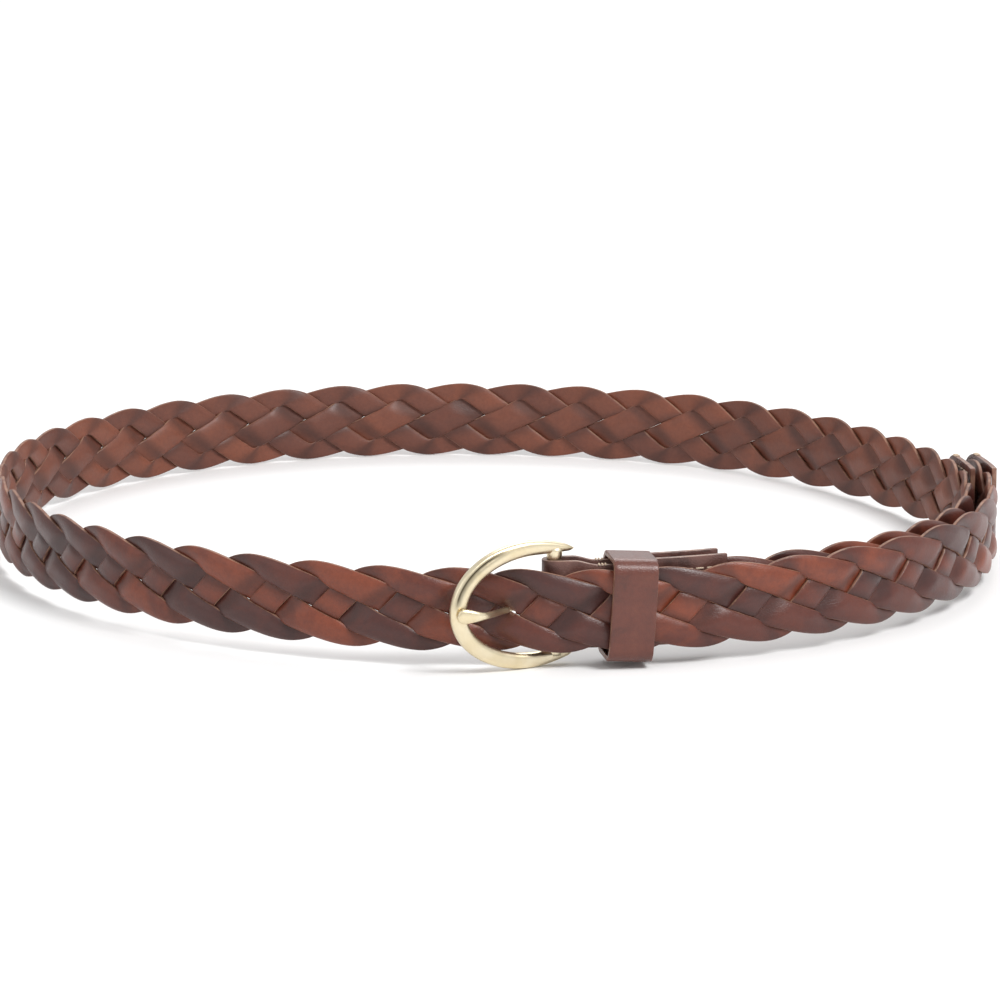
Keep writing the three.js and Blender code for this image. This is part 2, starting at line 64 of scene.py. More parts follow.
@dataclass(frozen=True)
class LoopSize:
    """Plan of the loop, an oval on the outer layer's middle line."""

    long_radius: float = 146.0
    short_radius: float = 133.0
    turn: float = math.radians(-31.0)
    bar_sweep: float = math.radians(-85.6)
    steps: int = 1440
    origin: tuple[float, float, float] = (-0.6134, 5.0957, 0.0123)
    tail_length: float = 235.0
    nose_allowance: float = 18.0
    press_depth: float = 2.8
    press_reach: float = 18.0
    press_from_bar: float = 19.0
    prong_hole_from_bar: float = 12.6
    prong_hole_radius: float = 2.1


@dataclass(frozen=True)
class BraidSize:
    """The four-strand flat braid."""

    strap_width: float = 23.0
    strand_count: int = 4
    strand_width: float = 7.0
    strand_thickness: float = 1.6
    strand_gap: float = 0.34
    repeat_length: float = 76.0
    fall_length: float = 51.0
    plateau_margin: float = 0.1
    fall_lift_share: float = 0.67
    start: float = 10.0
    sample_step: float = 1.0
    plan_softness: float = 1.1
    lift_softness: float = 0.75
    edge_curl: float = 0.7
    # Reach of the painted shade on both sides of a crossing.
    shade_reach: float = 2.2
    fall_swell: tuple[float, float] = (1.12, 1.17)
    rise_swell: float = 1.07

    @property
    def half(self) -> float:
        """Half of a strand's width."""
        return self.strand_width / 2

    @property
    def wave_height(self) -> float:
        """Height of a strand's middle line above the strap's, at the turn."""
        return self.strap_width / 2 - self.half

    @property
    def rise_length(self) -> float:
        """Length of the rising part of a repeat."""
        return self.repeat_length - self.fall_length

    @property
    def pitch(self) -> float:
        """Distance along the strap from one strand's turn to the next one's."""
        return self.repeat_length / self.strand_count

    @property
    def fall_lift(self) -> float:
        """Distance of a falling strand from the strap's middle surface."""
        return (self.strand_thickness + self.strand_gap) * self.fall_lift_share

    @property
    def rise_lift(self) -> float:
        """Distance of a rising strand from the strap's middle surface."""
        return self.strand_thickness + self.strand_gap - self.fall_lift

    @property
    def thickness(self) -> float:
        """Thickness of the whole braid."""
        return 2 * self.fall_lift + self.strand_thickness


@dataclass(frozen=True)
class TabSize:
    """The folded tabs at both ends of the braid."""

    ply: float = 1.5
    gap: float = 0.3
    width: float = 22.6
    closing_rate: float = 3.0
    chape_length: float = 48.5
    chape_drop: float = 1.0
    fold_swell: float = 1.3
    fold_ramp: tuple[float, float] = (5.0, 12.0)
    end_swell: float = 1.2
    end_ramp: tuple[float, float] = (17.0, 24.0)
    raised_rows: float = 0.5
    slot_width: float = 4.6
    slot_reach: float = 9.5
    tip_length: float = 26.0
    tip_nose: float = 9.0
    nose_limit: float = 0.96
    edge_round: float = 0.28
    bevel_angle: float = math.radians(50.0)
    sharp_angle: float = math.radians(40.0)
    seam_border: float = 2.2
    chape_seam: float = 13.0
    tip_seam: float = 6.0


@dataclass(frozen=True)
class KeeperSize:
    """The leather loop beside the buckle."""

    start: float = 14.4
    width: float = 12.0
    height: float = 28.0
    wall: float = 1.4
    corner: float = 3.6
    belly: float = 0.45
    lean: float = math.radians(3.5)


@dataclass(frozen=True)
class BuckleSize:
    """The cast horseshoe frame, its bar and its prong."""

    length: float = 33.0
    height: float = 34.7
    band: float = 4.5
    arm: float = 4.1
    crest: float = 7.1
    inner_crest: float = 5.5
    thickness: float = 3.4
    tip_band: float = 1.1
    tip_drop: float = 2.8
    shoulder: float = 13.8
    bar_radius: float = 1.7
    bar_to_tips: float = 5.0
    rise: float = 1.4
    metal_gap: float = 0.3
    prong_thickness: float = 1.6
    prong_width: float = 1.7
    prong_tip_width: float = 4.0
    prong_overhang: float = 0.5
    prong_taper: float = 9.0
    prong_bend: float = 2.3
    prong_drop: float = 1.42
    prong_tip_rise: float = 1.2
    # The crease on the frame's upper left flank: a shallow groove, also darkened with painted shade.
    crease_angle: float = math.radians(296.0)
    crease_spread: float = math.radians(15.0)
    crease_depth: float = 0.45
    crease_start: tuple[float, float] = (0.42, 0.62)
    crease_end: tuple[float, float] = (0.9, 0.98)


LOOP = LoopSize()
BRAID = BraidSize()
TAB = TabSize()
KEEPER = KeeperSize()
BUCKLE = BuckleSize()

BRAID_HALF = BRAID.thickness / 2
LAYER_SPACING = BRAID.thickness + TAB.ply + 3 * TAB.gap
BAR_INSET = BRAID_HALF + TAB.gap + TAB.ply + BUCKLE.metal_gap + BUCKLE.bar_radius
STACK_DEPTH = LAYER_SPACING + BRAID.thickness + 2 * TAB.gap + TAB.ply
BUCKLE_LEVEL = BUCKLE.height / 2


def smoothstep(value: np.ndarray | float, low: float, high: float) -> np.ndarray:
    """Smooth ramp from 0 at low to 1 at high.

    Args:
        value: Where the ramp is read.
        low: Start of the ramp.
        high: End of the ramp.

    Returns:
        The ramp's values.
    """
    share = np.clip((np.asarray(value, dtype=float) - low) / (high - low), 0.0, 1.0)
    return share * share * (3.0 - 2.0 * share)


def arc_lengths(points: np.ndarray) -> np.ndarray:
    """Length of a line up to each of its points.

    Args:
        points: The line, one row for each point.

    Returns:
        The lengths, from 0 on.
    """
    return np.concatenate([[0.0], np.cumsum(np.linalg.norm(np.diff(points, axis=0), axis=1))])


def read_line(at: np.ndarray | float, lengths: np.ndarray, rows: np.ndarray) -> np.ndarray:
    """Values of a sampled line at other lengths.

    Args:
        at: Where it is read.
        lengths: Length up to each sample.
        rows: The samples, one row each.

    Returns:
        The values, one row for each length.
    """
    return np.stack([np.interp(at, lengths, rows[:, k]) for k in range(rows.shape[1])], axis=-1)


def rounded_square(count: int, squareness: float) -> tuple[np.ndarray, np.ndarray, np.ndarray]:
    """Points of a square of half size 1 with well-rounded corners.

    Args:
        count: Number of points.
        squareness: 2 gives a circle, more a squarer form.

    Returns:
        The points' angles and both coordinates.
    """
    angles = np.linspace(0.0, 2.0 * math.pi, count, endpoint=False)
    across, up = (np.sign(part) * np.abs(part) ** (2.0 / squareness) for part in (np.cos(angles), np.sin(angles)))
    return angles, across, up


class Route:
    """The belt's way in plan, measured by arc length from the buckle's bar."""

    def __init__(self, size: LoopSize) -> None:
        """Samples the oval once.

        Args:
            size: The loop's sizes.
        """
        self.size = size
        sweep = size.bar_sweep + np.linspace(0.0, 2.0 * math.pi, size.steps + 1)
        angle = sweep - size.turn
        turn = np.array([[math.cos(size.turn), -math.sin(size.turn)], [math.sin(size.turn), math.cos(size.turn)]])
        points = np.stack([size.long_radius * np.cos(angle), size.short_radius * np.sin(angle)], axis=1)
        normals = np.stack([np.cos(angle) / size.long_radius, np.sin(angle) / size.short_radius], axis=1)
        self.points = points @ turn.T
        self.normals = normals @ turn.T
        self.normals /= np.linalg.norm(self.normals, axis=1)[:, None]
        self.lengths = arc_lengths(self.points)
        self.length = float(self.lengths[-1])
        self.prong_hole = self.length - size.prong_hole_from_bar
        self.braid_end = self.length + size.tail_length
        self.reach = math.hypot(size.long_radius * math.sin(size.turn), size.short_radius * math.cos(size.turn))

    def sample(self, along: np.ndarray | float) -> tuple[np.ndarray, np.ndarray]:
        """Points and outward normals of the oval.

        Args:
            along: Arc lengths from the bar, counted on through further laps.

        Returns:
            The points and the normals, one row each.
        """
        wanted = np.mod(np.atleast_1d(np.asarray(along, dtype=float)), self.length)
        point, normal = (read_line(wanted, self.lengths, rows) for rows in (self.points, self.normals))
        return point, normal / np.linalg.norm(normal, axis=1)[:, None]

    def heading(self, along: float) -> float:
        """Direction of the strap in plan.

        Args:
            along: Arc length from the bar.

        Returns:
            The angle from the X axis.
        """
        normal = self.sample(along)[1][0]
        return math.atan2(normal[0], -normal[1])

    def plan(self, along: np.ndarray | float, inward: np.ndarray | float) -> np.ndarray:
        """Plan positions moved inwards from the outer layer's middle line.

        Args:
            along: Arc lengths from the bar.
            inward: Distances inwards.

        Returns:
            The plan positions, one row each.
        """
        point, normal = self.sample(along)
        return point - normal * np.broadcast_to(np.asarray(inward, dtype=float), point[:, 0].shape)[:, None]

    def inset(self, along: np.ndarray) -> np.ndarray:
        """Distance of the strap's middle from the oval: the inner layer, and the place pressed in by the frame.

        Args:
            along: Arc lengths from the bar.

        Returns:
            The distances inwards.
        """
        size = self.size
        inner_end = size.tail_length + size.nose_allowance
        inner = LAYER_SPACING * (1.0 - smoothstep(along, inner_end, inner_end + size.tail_length / 2))
        away = np.abs(np.asarray(along) - self.length + size.press_from_bar) / size.press_reach
        pressed = size.press_depth * np.cos(np.minimum(away, 1.0) * math.pi / 2) ** 2
        return inner + pressed

    def level(self, y: np.ndarray) -> np.ndarray:
        """Height of the strap's middle above the floor at a depth in the loop.

        Args:
            y: Depths, before the move to the shared origin.

        Returns:
            The heights.
        """
        lift = BUCKLE.height / 2 - BUCKLE.rise - BRAID.strap_width / 2
        return BRAID.strap_width / 2 + lift * (self.reach - y) / (2 * self.reach)

    def spread(self, along: np.ndarray, across: np.ndarray) -> tuple[np.ndarray, np.ndarray]:
        """Opens the braid round the prong.

        Args:
            along: Arc lengths from the bar.
            across: Heights across the strap.

        Returns:
            The moved arc lengths and heights.
        """
        dx = along - self.prong_hole
        reach = np.maximum(np.hypot(dx, across), TINY)
        scale = np.cbrt(reach**3 + self.size.prong_hole_radius**3) / reach
        return self.prong_hole + dx * scale, across * scale

    def place(self, plan: np.ndarray, height: np.ndarray) -> np.ndarray:
        """World positions in metres.

        Args:
            plan: Plan positions.
            height: Heights above the floor.

        Returns:
            The positions, one row each.
        """
        shift = np.asarray(self.size.origin)
        return (np.column_stack([plan, height]) + shift) * MM

    def braid_points(self, along: np.ndarray, across: np.ndarray, lift: np.ndarray) -> np.ndarray:
        """World positions of points of the braid.

        Args:
            along: Arc lengths from the bar.
            across: Heights across the strap.
            lift: Distances outwards from the strap's middle surface.

        Returns:
            The positions in metres.
        """
        along, across = self.spread(along, across)
        plan = self.plan(along, self.inset(along) - lift)
        return self.place(plan, self.level(plan[:, 1]) + across)

    def at_bar(self, x: np.ndarray, depth: np.ndarray, height: np.ndarray) -> np.ndarray:
        """World positions of points in the buckle's own coordinates.

        Args:
            x: Distances to the right of the bar.
            depth: Distances inwards from the outer layer's middle.
            height: Heights above the frame's middle.

        Returns:
            The positions in metres.
        """
        c, s = math.cos(self.heading(0.0)), math.sin(self.heading(0.0))
        plan = np.column_stack([x * c - depth * s, x * s + depth * c]) + self.sample(0.0)[0]
        return self.place(plan, np.asarray(height) + BUCKLE_LEVEL)

    def to_bar(self, along: float, inward: float) -> tuple[float, float]:
        """Buckle coordinates of a plan point of the belt.

        Args:
            along: Arc length from the bar.
            inward: Distance inwards.

        Returns:
            The distance to the right of the bar and the depth.
        """
        c, s = math.cos(self.heading(0.0)), math.sin(self.heading(0.0))
        dx, dy = self.plan(along, inward)[0] - self.sample(0.0)[0][0]
        return dx * c + dy * s, -dx * s + dy * c


ROUTE = Route(LOOP)


class MeshKit:
    """Small helpers that turn arrays of points into objects."""

    @staticmethod
    def tube_faces(count: int, around: int, first: int = 0, capped: bool = True) -> list[tuple[int, ...]]:
        """Faces of a skin over a row of rings.

        Args:
            count: Number of rings.
            around: Number of points in a ring.
            first: Number of the first point.
            capped: Whether both ends get a face.

        Returns:
            Corner numbers of each face.
        """
        faces: list[tuple[int, ...]] = []
        for a in range(first, first + (count - 1) * around, around):
            for k in range(around):
                n = (k + 1) % around
                faces.append((a + k, a + n, a + around + n, a + around + k))
        if capped:
            last = first + (count - 1) * around
            faces.append(tuple(reversed(range(first, first + around))))
            faces.append(tuple(range(last, last + around)))
        return faces

    @staticmethod
    def tube(name: str, rings: np.ndarray, capped: bool = True) -> bpy.types.Object:
        """Skin over a row of rings, turned outwards where it is capped.

        Args:
            name: Name of the object.
            rings: Points as (ring, point in the ring, 3), in metres.
            capped: Whether both ends get a face.

        Returns:
            The new object, smooth shaded.
        """
        faces = MeshKit.tube_faces(*rings.shape[:2], capped=capped)
        obj = MeshKit.mesh(name, rings.reshape(-1, 3), faces)
        if capped:
            MeshKit.turn_out(obj)
        return obj

    @staticmethod
    def mesh(name: str, points: np.ndarray, faces: list[tuple[int, ...]]) -> bpy.types.Object:
        """An object from points and faces.

        Args:
            name: Name of the object.
            points: Points, one row each, in metres.
            faces: Corner numbers of each face.

        Returns:
            The new object, smooth shaded.
        """
        data = bpy.data.meshes.new(name)
        data.from_pydata([tuple(p) for p in points], [], faces)
        data.validate()
        data.polygons.foreach_set("use_smooth", [True] * len(data.polygons))
        obj = bpy.data.objects.new(name, data)
        bpy.context.scene.collection.objects.link(obj)
        return obj

    @staticmethod
    def attribute(obj: bpy.types.Object, name: str, values: np.ndarray, domain: str = "POINT") -> None:
        """Stores one number for each point or face of a mesh.

        Args:
            obj: The object.
            name: Name of the attribute.
            values: One value for each point or face.
            domain: POINT or FACE.
        """
        layer = obj.data.attributes.new(name, "FLOAT", domain)
        layer.data.foreach_set("value", np.asarray(values, dtype=np.float32))

    @staticmethod
    def turn_out(obj: bpy.types.Object) -> None:
        """Turns a closed mesh's faces outwards if they point inwards.

        Args:
            obj: The object.
        """
        data = obj.data
        volume = 0.0
        data.calc_loop_triangles()
        for tri in data.loop_triangles:
            a, b, c = (data.vertices[i].co for i in tri.vertices)
            volume += a.dot(b.cross(c))
        if volume < 0.0:
            data.flip_normals()

    @staticmethod
    def apply_modifiers(obj: bpy.types.Object) -> None:
        """Bakes an object's modifiers into its mesh.

        Args:
            obj: The object.
        """
        graph = bpy.context.evaluated_depsgraph_get()
        graph.update()
        data = bpy.data.meshes.new_from_object(obj.evaluated_get(graph))
        obj.modifiers.clear()
        obj.data = data

    @staticmethod
    def thicken(obj: bpy.types.Object) -> None:
        """Gives a leather sheet its thickness and slightly rounded cut edges, and marks the cut faces.

        Args:
            obj: The sheet.
        """
        sheet_faces = len(obj.data.polygons)
        solid = obj.modifiers.new("thickness", "SOLIDIFY")
        solid.thickness = TAB.ply * MM
        solid.offset = 0.0
        solid.use_even_offset = True
        MeshKit.apply_modifiers(obj)
        MeshKit.attribute(obj, "cut", np.arange(len(obj.data.polygons)) >= 2 * sheet_faces, "FACE")
        bevel = obj.modifiers.new("cut_edge", "BEVEL")
        bevel.width = TAB.edge_round * MM
        bevel.segments = 2
        bevel.limit_method = "ANGLE"
        bevel.angle_limit = TAB.bevel_angle
        MeshKit.apply_modifiers(obj)
        obj.data.set_sharp_from_angle(angle=TAB.sharp_angle)


@dataclass(frozen=True)
class Station:
    """One cut across a strand of the braid, in plan coordinates of the strap."""

    upper: np.ndarray
    lower: np.ndarray
    lift: float
    swell: float = 1.0


class Braid:
    """The weave: each strand's way through the others over one repeat."""

    middle_row: float = 0.5
    rows: tuple[tuple[float, bool], ...] = ((0.25, True), (middle_row, False), (0.75, True))
    turn_table: tuple[tuple[float, float], ...] = ((-0.14, 0.2), (0.005, 0.5), (0.11, 0.8))

    def __init__(self, size: BraidSize, route: Route) -> None:
        """Keeps the sizes.

        Args:
            size: Sizes of the braid.
            route: The belt's way in plan.
        """
        self.size = size
        self.route = route

    def diamond(self, share: float) -> dict[str, np.ndarray]:
        """Corners of the area in which a falling and a rising strand lie on each other.

        Args:
            share: Share of the fall at which they cross.

        Returns:
            The corners round the crossing's middle, and both ways.
        """
        size = self.size
        steepness = size.wave_height * math.pi * math.sin(math.pi * share)
        fall = np.array([1.0, -steepness / size.fall_length])
        rise = np.array([1.0, steepness / size.rise_length])
        fall /= np.linalg.norm(fall)
        rise /= np.linalg.norm(rise)
        side = size.half / (fall[0] * rise[1] - fall[1] * rise[0])
        right = (fall + rise) * side
        top = (rise - fall) * side
        return {"fall": fall, "rise": rise, "right": right, "top": top, "left": -right, "bottom": -top}

    def crossing(self, share: float, fall_outside: bool, falling: bool) -> list[Station]:
        """The two cuts at the ends of a crossing.

        Args:
            share: Share of the fall at which the strands cross.
            fall_outside: Whether the falling strand lies outside there.
            falling: Whether the cuts are for the falling strand.

        Returns:
            The cut where the strand comes to the crossing, and where it leaves.
        """
        size = self.size
        own = share if falling else 1.0 - share
        x = size.fall_length * own if falling else size.fall_length + size.rise_length * own
        centre = np.array([x, size.wave_height * math.cos(math.pi * share)])
        d = self.diamond(share)
        lift = size.fall_lift if falling else size.rise_lift
        lift *= 1.0 if fall_outside == falling else -1.0
        way = d["fall" if falling else "rise"] * size.plateau_margin
        if falling:
            first, second = ("top", "left"), ("right", "bottom")
        else:
            first, second = ("left", "bottom"), ("top", "right")
        swells = self.swells(share, falling)
        return [
            Station(centre + d[first[0]] - way, centre + d[first[1]] - way, lift, swells[0]),
            Station(centre + d[second[0]] + way, centre + d[second[1]] + way, lift, swells[1]),
        ]

    def swells(self, share: float, falling: bool) -> tuple[float, float]:
        """How much wider the soft leather spreads at a crossing's two ends, which closes the weave.

        Args:
            share: Share of the fall at which the strands cross.
            falling: Whether the strand falls.

        Returns:
            Factors on the strand's width.
        """
        outer, middle = self.size.fall_swell
        if share == self.middle_row:
            return (middle, middle) if falling else (self.size.rise_swell, self.size.rise_swell)
        if not falling:
            return 1.0, 1.0
        return (1.0, outer) if share < self.middle_row else (outer, 1.0)

    def rim(self, share: float) -> np.ndarray:
        """Point of the strap's scalloped rim near the top turn.

        Args:
            share: Share of the fall, or of the rise before the turn if negative.

        Returns:
            The rim's point.
        """
        size = self.size
        length = size.rise_length if share < 0 else size.fall_length
        slope = -size.wave_height * math.pi * math.sin(math.pi * share) / length
        normal = np.array([-slope, 1.0]) / math.hypot(slope, 1.0)
        return np.array([share * length, size.wave_height * math.cos(math.pi * share)]) + normal * size.half

    def repeat(self) -> list[Station]:
        """All cuts of one repeat, from the top turn on.

        Returns:
            The cuts in order.
        """
        size = self.size
        fall = [cut for share, outside in self.rows for cut in self.crossing(share, outside, True)]
        rise = [cut for share, outside in reversed(self.rows) for cut in self.crossing(share, outside, False)]
        before = rise[-1].lower - np.array([size.repeat_length, 0.0])
        top = []
        for rim_share, share in self.turn_table:
            lower = before + (fall[0].lower - before) * share
            lift = rise[-1].lift + (fall[0].lift - rise[-1].lift) * share
            top.append(Station(self.rim(rim_share), lower, lift))
        about = np.array([size.fall_length, 0.0])
        bottom = [Station(about - cut.lower, about - cut.upper, cut.lift) for cut in reversed(top)]
        return [*top, *fall, *bottom, *rise]

    @staticmethod
    def soften(values: np.ndarray, sigma: float) -> np.ndarray:
        """Rounds a sampled line with a bell-shaped filter.

        Args:
            values: One row for each sample.
            sigma: Width of the filter in samples.

        Returns:
            The rounded line, as long as before.
        """
        reach = max(1, int(math.ceil(3 * sigma)))
        kernel = np.exp(-0.5 * (np.arange(-reach, reach + 1) / sigma) ** 2)
        kernel /= kernel.sum()
        padded = np.pad(values, ((reach, reach), (0, 0)), mode="edge")
        return np.stack([np.convolve(padded[:, k], kernel, mode="valid") for k in range(values.shape[1])], axis=1)

    def strand_line(self, index: int) -> dict[str, np.ndarray]:
        """One strand's two edges, its lift and its leaf numbers, sampled closely.

        Args:
            index: Number of the strand, from 0.

        Returns:
            Arrays for the painted shade (1 where it slips under), upper, lower, lift, outer_leaf and inner_leaf.
        """
        size = self.size
        phase = self.route.prong_hole - size.pitch / 2 - size.fall_length / 2 - index * size.pitch
        first = math.floor((size.start - phase) / size.repeat_length) - 1
        last = math.ceil((self.route.braid_end - phase) / size.repeat_length) + 1
        rows = []
        for repeat in range(first, last + 1):
            shift = phase + repeat * size.repeat_length
            for cut in self.repeat():
                left = min(cut.upper[0], cut.lower[0]) + shift
                right = max(cut.upper[0], cut.lower[0]) + shift
                if left >= size.start and right <= self.route.braid_end:
                    rows.append([cut.upper[0] + shift, cut.upper[1], cut.lower[0] + shift, cut.lower[1],
                                 cut.lift, cut.swell])
        table = np.array(rows)
        knots = arc_lengths((table[:, 0:2] + table[:, 2:4]) / 2)
        line = read_line(np.arange(0.0, knots[-1], size.sample_step), knots, table)
        soft = self.soften(line, size.plan_softness / size.sample_step)
        centre = (soft[:, 0:2] + soft[:, 2:4]) / 2
        half = (soft[:, 0:2] - soft[:, 2:4]) / 2 * soft[:, 5:6]
        lift = self.soften(line[:, 4:5], size.lift_softness / size.sample_step)[:, 0]
        sign = np.sign(lift)
        passes = np.flatnonzero(np.diff(sign))
        away = np.abs(np.arange(len(sign))[:, None] - passes[None, :]).min(axis=1) * size.sample_step
        return {
            # Painted shade, darkest where the strip slips under its neighbour.
            "dive_shade": np.exp(-((away / size.shade_reach) ** 2)),
            "upper": centre + half,
            "lower": centre - half,
            "lift": lift,
            "outer_leaf": self.leaf_numbers(sign < 0),
            "inner_leaf": self.leaf_numbers(sign > 0),
        }

    @staticmethod
    def leaf_numbers(hidden: np.ndarray) -> np.ndarray:
        """Numbers the stretches of a strand between the middles of its hidden crossings.

        Args:
            hidden: Whether each sample lies under another strand on this face.

        Returns:
            One number for each sample.
        """
        edges = np.flatnonzero(np.diff(hidden.astype(int)))
        numbers = np.zeros(len(hidden), dtype=int)
        bounds = [0, *(edges + 1), len(hidden)]
        for low, high in zip(bounds[:-1], bounds[1:]):
            if hidden[low]:
                numbers[(low + high) // 2:] += 1
        return numbers


@dataclass(frozen=True)
class Section:
    """Shape of a leather strip's cross-section."""

    columns: int = 9
    shoulder: float = 0.48
    shoulder_power: float = 4.0
    rim_share: float = 0.5
    rim_from: float = 0.999

    def across(self) -> np.ndarray:
        """Places across the strip from -1 to 1, closer together near the edges.

        Returns:
            The places.
        """
        return np.sin(np.linspace(-math.pi / 2, math.pi / 2, self.columns))

    def half_thickness(self, across: np.ndarray, thickness: float) -> np.ndarray:
        """Half of the strip's thickness at each place.

        Args:
            across: Places across the strip.
            thickness: Thickness at the middle.

        Returns:
            The half thicknesses.
        """
        full = thickness / 2
        body = full * (1.0 - self.shoulder * np.abs(across) ** self.shoulder_power)
        return np.where(np.abs(across) > self.rim_from, full * self.rim_share, body)


class StrandPiece:
    """One leather strip of the braid."""

    tone_spread: tuple[float, float] = (1.5, 1.6)
    tone_count: int = 400
    inner_tones: int = 150

    def __init__(self, braid: Braid, index: int, section: Section) -> None:
        """Keeps what the strip is made from.

        Args:
            braid: The weave.
            index: Number of the strip, from 0.
            section: Its cross-section.
        """
        self.braid = braid
        self.index = index
        self.section = section

    def build(self) -> bpy.types.Object:
        """Makes the strip's mesh.

        Returns:
            The object.
        """
        size = self.braid.size
        line = self.braid.strand_line(self.index)
        across = self.section.across()
        half = self.section.half_thickness(across, size.strand_thickness)
        curl = -size.edge_curl * across[None, :] ** 2 * (line["lift"] / size.fall_lift)[:, None]
        blend = ((across + 1.0) / 2.0)[None, :, None]
        flat = line["lower"][:, None, :] + (line["upper"] - line["lower"])[:, None, :] * blend
        faces = []
        for side in (1.0, -1.0):
            lift = line["lift"][:, None] + curl + side * half[None, :]
            points = ROUTE.braid_points(flat[:, :, 0].ravel(), flat[:, :, 1].ravel(), lift.ravel())
            faces.append(points.reshape(*lift.shape, 3))
        rings = np.concatenate([faces[0], faces[1][:, ::-1]], axis=1)
        obj = MeshKit.tube(f"leather_strip_{self.index + 1}", rings)
        self.colour(obj, line, across)
        return obj

    def colour(self, obj: bpy.types.Object, line: dict[str, np.ndarray], across: np.ndarray) -> None:
        """Stores each leaf's tone, where the cut edge and the flesh side are, and the painted shade where the strip
        slips under others.

        Args:
            obj: The strip.
            line: The strip's sampled line.
            across: Places across the strip.
        """
        tones = np.random.default_rng(SEED + self.index).beta(*self.tone_spread, size=self.tone_count)
        leaves = np.column_stack([line["outer_leaf"], line["inner_leaf"] + self.inner_tones])
        count, columns = len(leaves), len(across)
        from_middle = np.abs(across)
        MeshKit.attribute(obj, "tone", np.repeat(tones[leaves], columns, axis=1).ravel())
        MeshKit.attribute(obj, "edge", np.tile(np.concatenate([from_middle, from_middle[::-1]]), count))
        MeshKit.attribute(obj, "flesh", np.tile(np.repeat([0.0, 1.0], columns), count))
        # Painted shade where the strip slips under other strips.
        MeshKit.attribute(obj, "dive_shade", np.repeat(line["dive_shade"], 2 * columns))


class FoldedTab:
    """A strip of leather folded in two over an end of the braid."""

    rows: int = 25
    arm_steps: int = 46
    fold_steps: int = 18

    def __init__(self, name: str, fold_at: float, fold_radius: float, open_at: float, level: float | None) -> None:
        """Keeps the fold's sizes.

        Args:
            name: Name of the object.
            fold_at: Arc length of the fold's middle.
            fold_radius: Inner radius of the fold.
            open_at: Arc length of the open end.
            level: Height of the tab's middle, or None to follow the strap.
        """
        self.name = name
        self.fold_at = fold_at
        self.fold_radius = fold_radius
        self.open_at = open_at
        self.level = level

    def inset(self, along: np.ndarray) -> np.ndarray:
        """Distance of the tab's middle from the oval.

        Args:
            along: Arc lengths from the bar.

        Returns:
            The distances inwards.
        """
        return BAR_INSET + (LAYER_SPACING - BAR_INSET) * smoothstep(along, 0.0, BRAID.start)

    def levels(self, plan: np.ndarray) -> np.ndarray:
        """Height of the tab's middle above the floor.

        Args:
            plan: Plan positions, before the move to the shared origin.

        Returns:
            The heights.
        """
        return ROUTE.level(plan[:, 1]) if self.level is None else np.full(len(plan), self.level)

    def half_height(self, along: np.ndarray) -> np.ndarray:
        """Half of the tab's height at each place.

        Args:
            along: Arc lengths from the bar.

        Returns:
            The half heights.
        """
        return np.full(along.shape, TAB.width / 2)

    def top_swell(self, along: np.ndarray) -> np.ndarray:
        """How far the upper edge stands above the tab's even width; none for a plain tab.

        Args:
            along: Arc lengths from the bar.

        Returns:
            The heights.
        """
        return np.zeros(along.shape)

    def middle_line(self) -> tuple[np.ndarray, np.ndarray]:
        """The leather's middle line in plan, from one open end round the fold to the other.

        Returns:
            Arc lengths, and distances from the tab's middle.
        """
        away = math.copysign(1.0, self.open_at - self.fold_at)
        radius = self.fold_radius + TAB.ply / 2
        gap = BRAID_HALF + TAB.gap + TAB.ply / 2
        share = np.linspace(0.0, 1.0, self.arm_steps)
        along = self.fold_at + (self.open_at - self.fold_at) * share
        offset = radius + (gap - radius) * np.minimum(1.0, TAB.closing_rate * share)
        turn = np.linspace(0.0, math.pi, self.fold_steps + 1)[1:-1]
        lengths = [along[::-1], self.fold_at - away * radius * np.sin(turn), along]
        offsets = [-offset[::-1], -radius * np.cos(turn), offset]
        return np.concatenate(lengths), np.concatenate(offsets)

    def keep(self, along: np.ndarray, height: np.ndarray) -> np.ndarray:
        """Which cells of the leather stay; a tab without a slot keeps them all.

        Args:
            along: Arc length of each cell.
            height: Height of each cell above the tab's middle.

        Returns:
            True where the leather stays.
        """
        return np.ones(along.shape, dtype=bool)

    def heights(self) -> np.ndarray:
        """Shares of the half height at which the rows of points lie.

        Returns:
            The shares from -1 to 1.
        """
        return np.linspace(-1.0, 1.0, self.rows)

    def build(self) -> bpy.types.Object:
        """Makes the tab's mesh with its real thickness.

        Returns:
            The object.
        """
        along, offset = self.middle_line()
        shares = self.heights()
        half = self.half_height(along)
        plan = ROUTE.plan(along, self.inset(along) + offset)
        above = (half + self.top_swell(along))[:, None]
        reach = np.where(shares[None, :] > TAB.raised_rows, above, half[:, None])
        heights = self.levels(plan)[:, None] + reach * shares[None, :]
        points = ROUTE.place(np.repeat(plan, len(shares), axis=0), heights.ravel())
        cells = half[:-1, None] * (shares[1:] + shares[:-1])[None, :] / 2
        middles = np.broadcast_to(((along[1:] + along[:-1]) / 2)[:, None], cells.shape)
        count = len(shares)
        firsts = np.argwhere(self.keep(middles, cells)) @ [count, 1]
        faces = [(a, a + 1, a + count + 1, a + count) for a in map(int, firsts)]
        obj = MeshKit.mesh(self.name, points, faces)
        MeshKit.thicken(obj)
        return obj


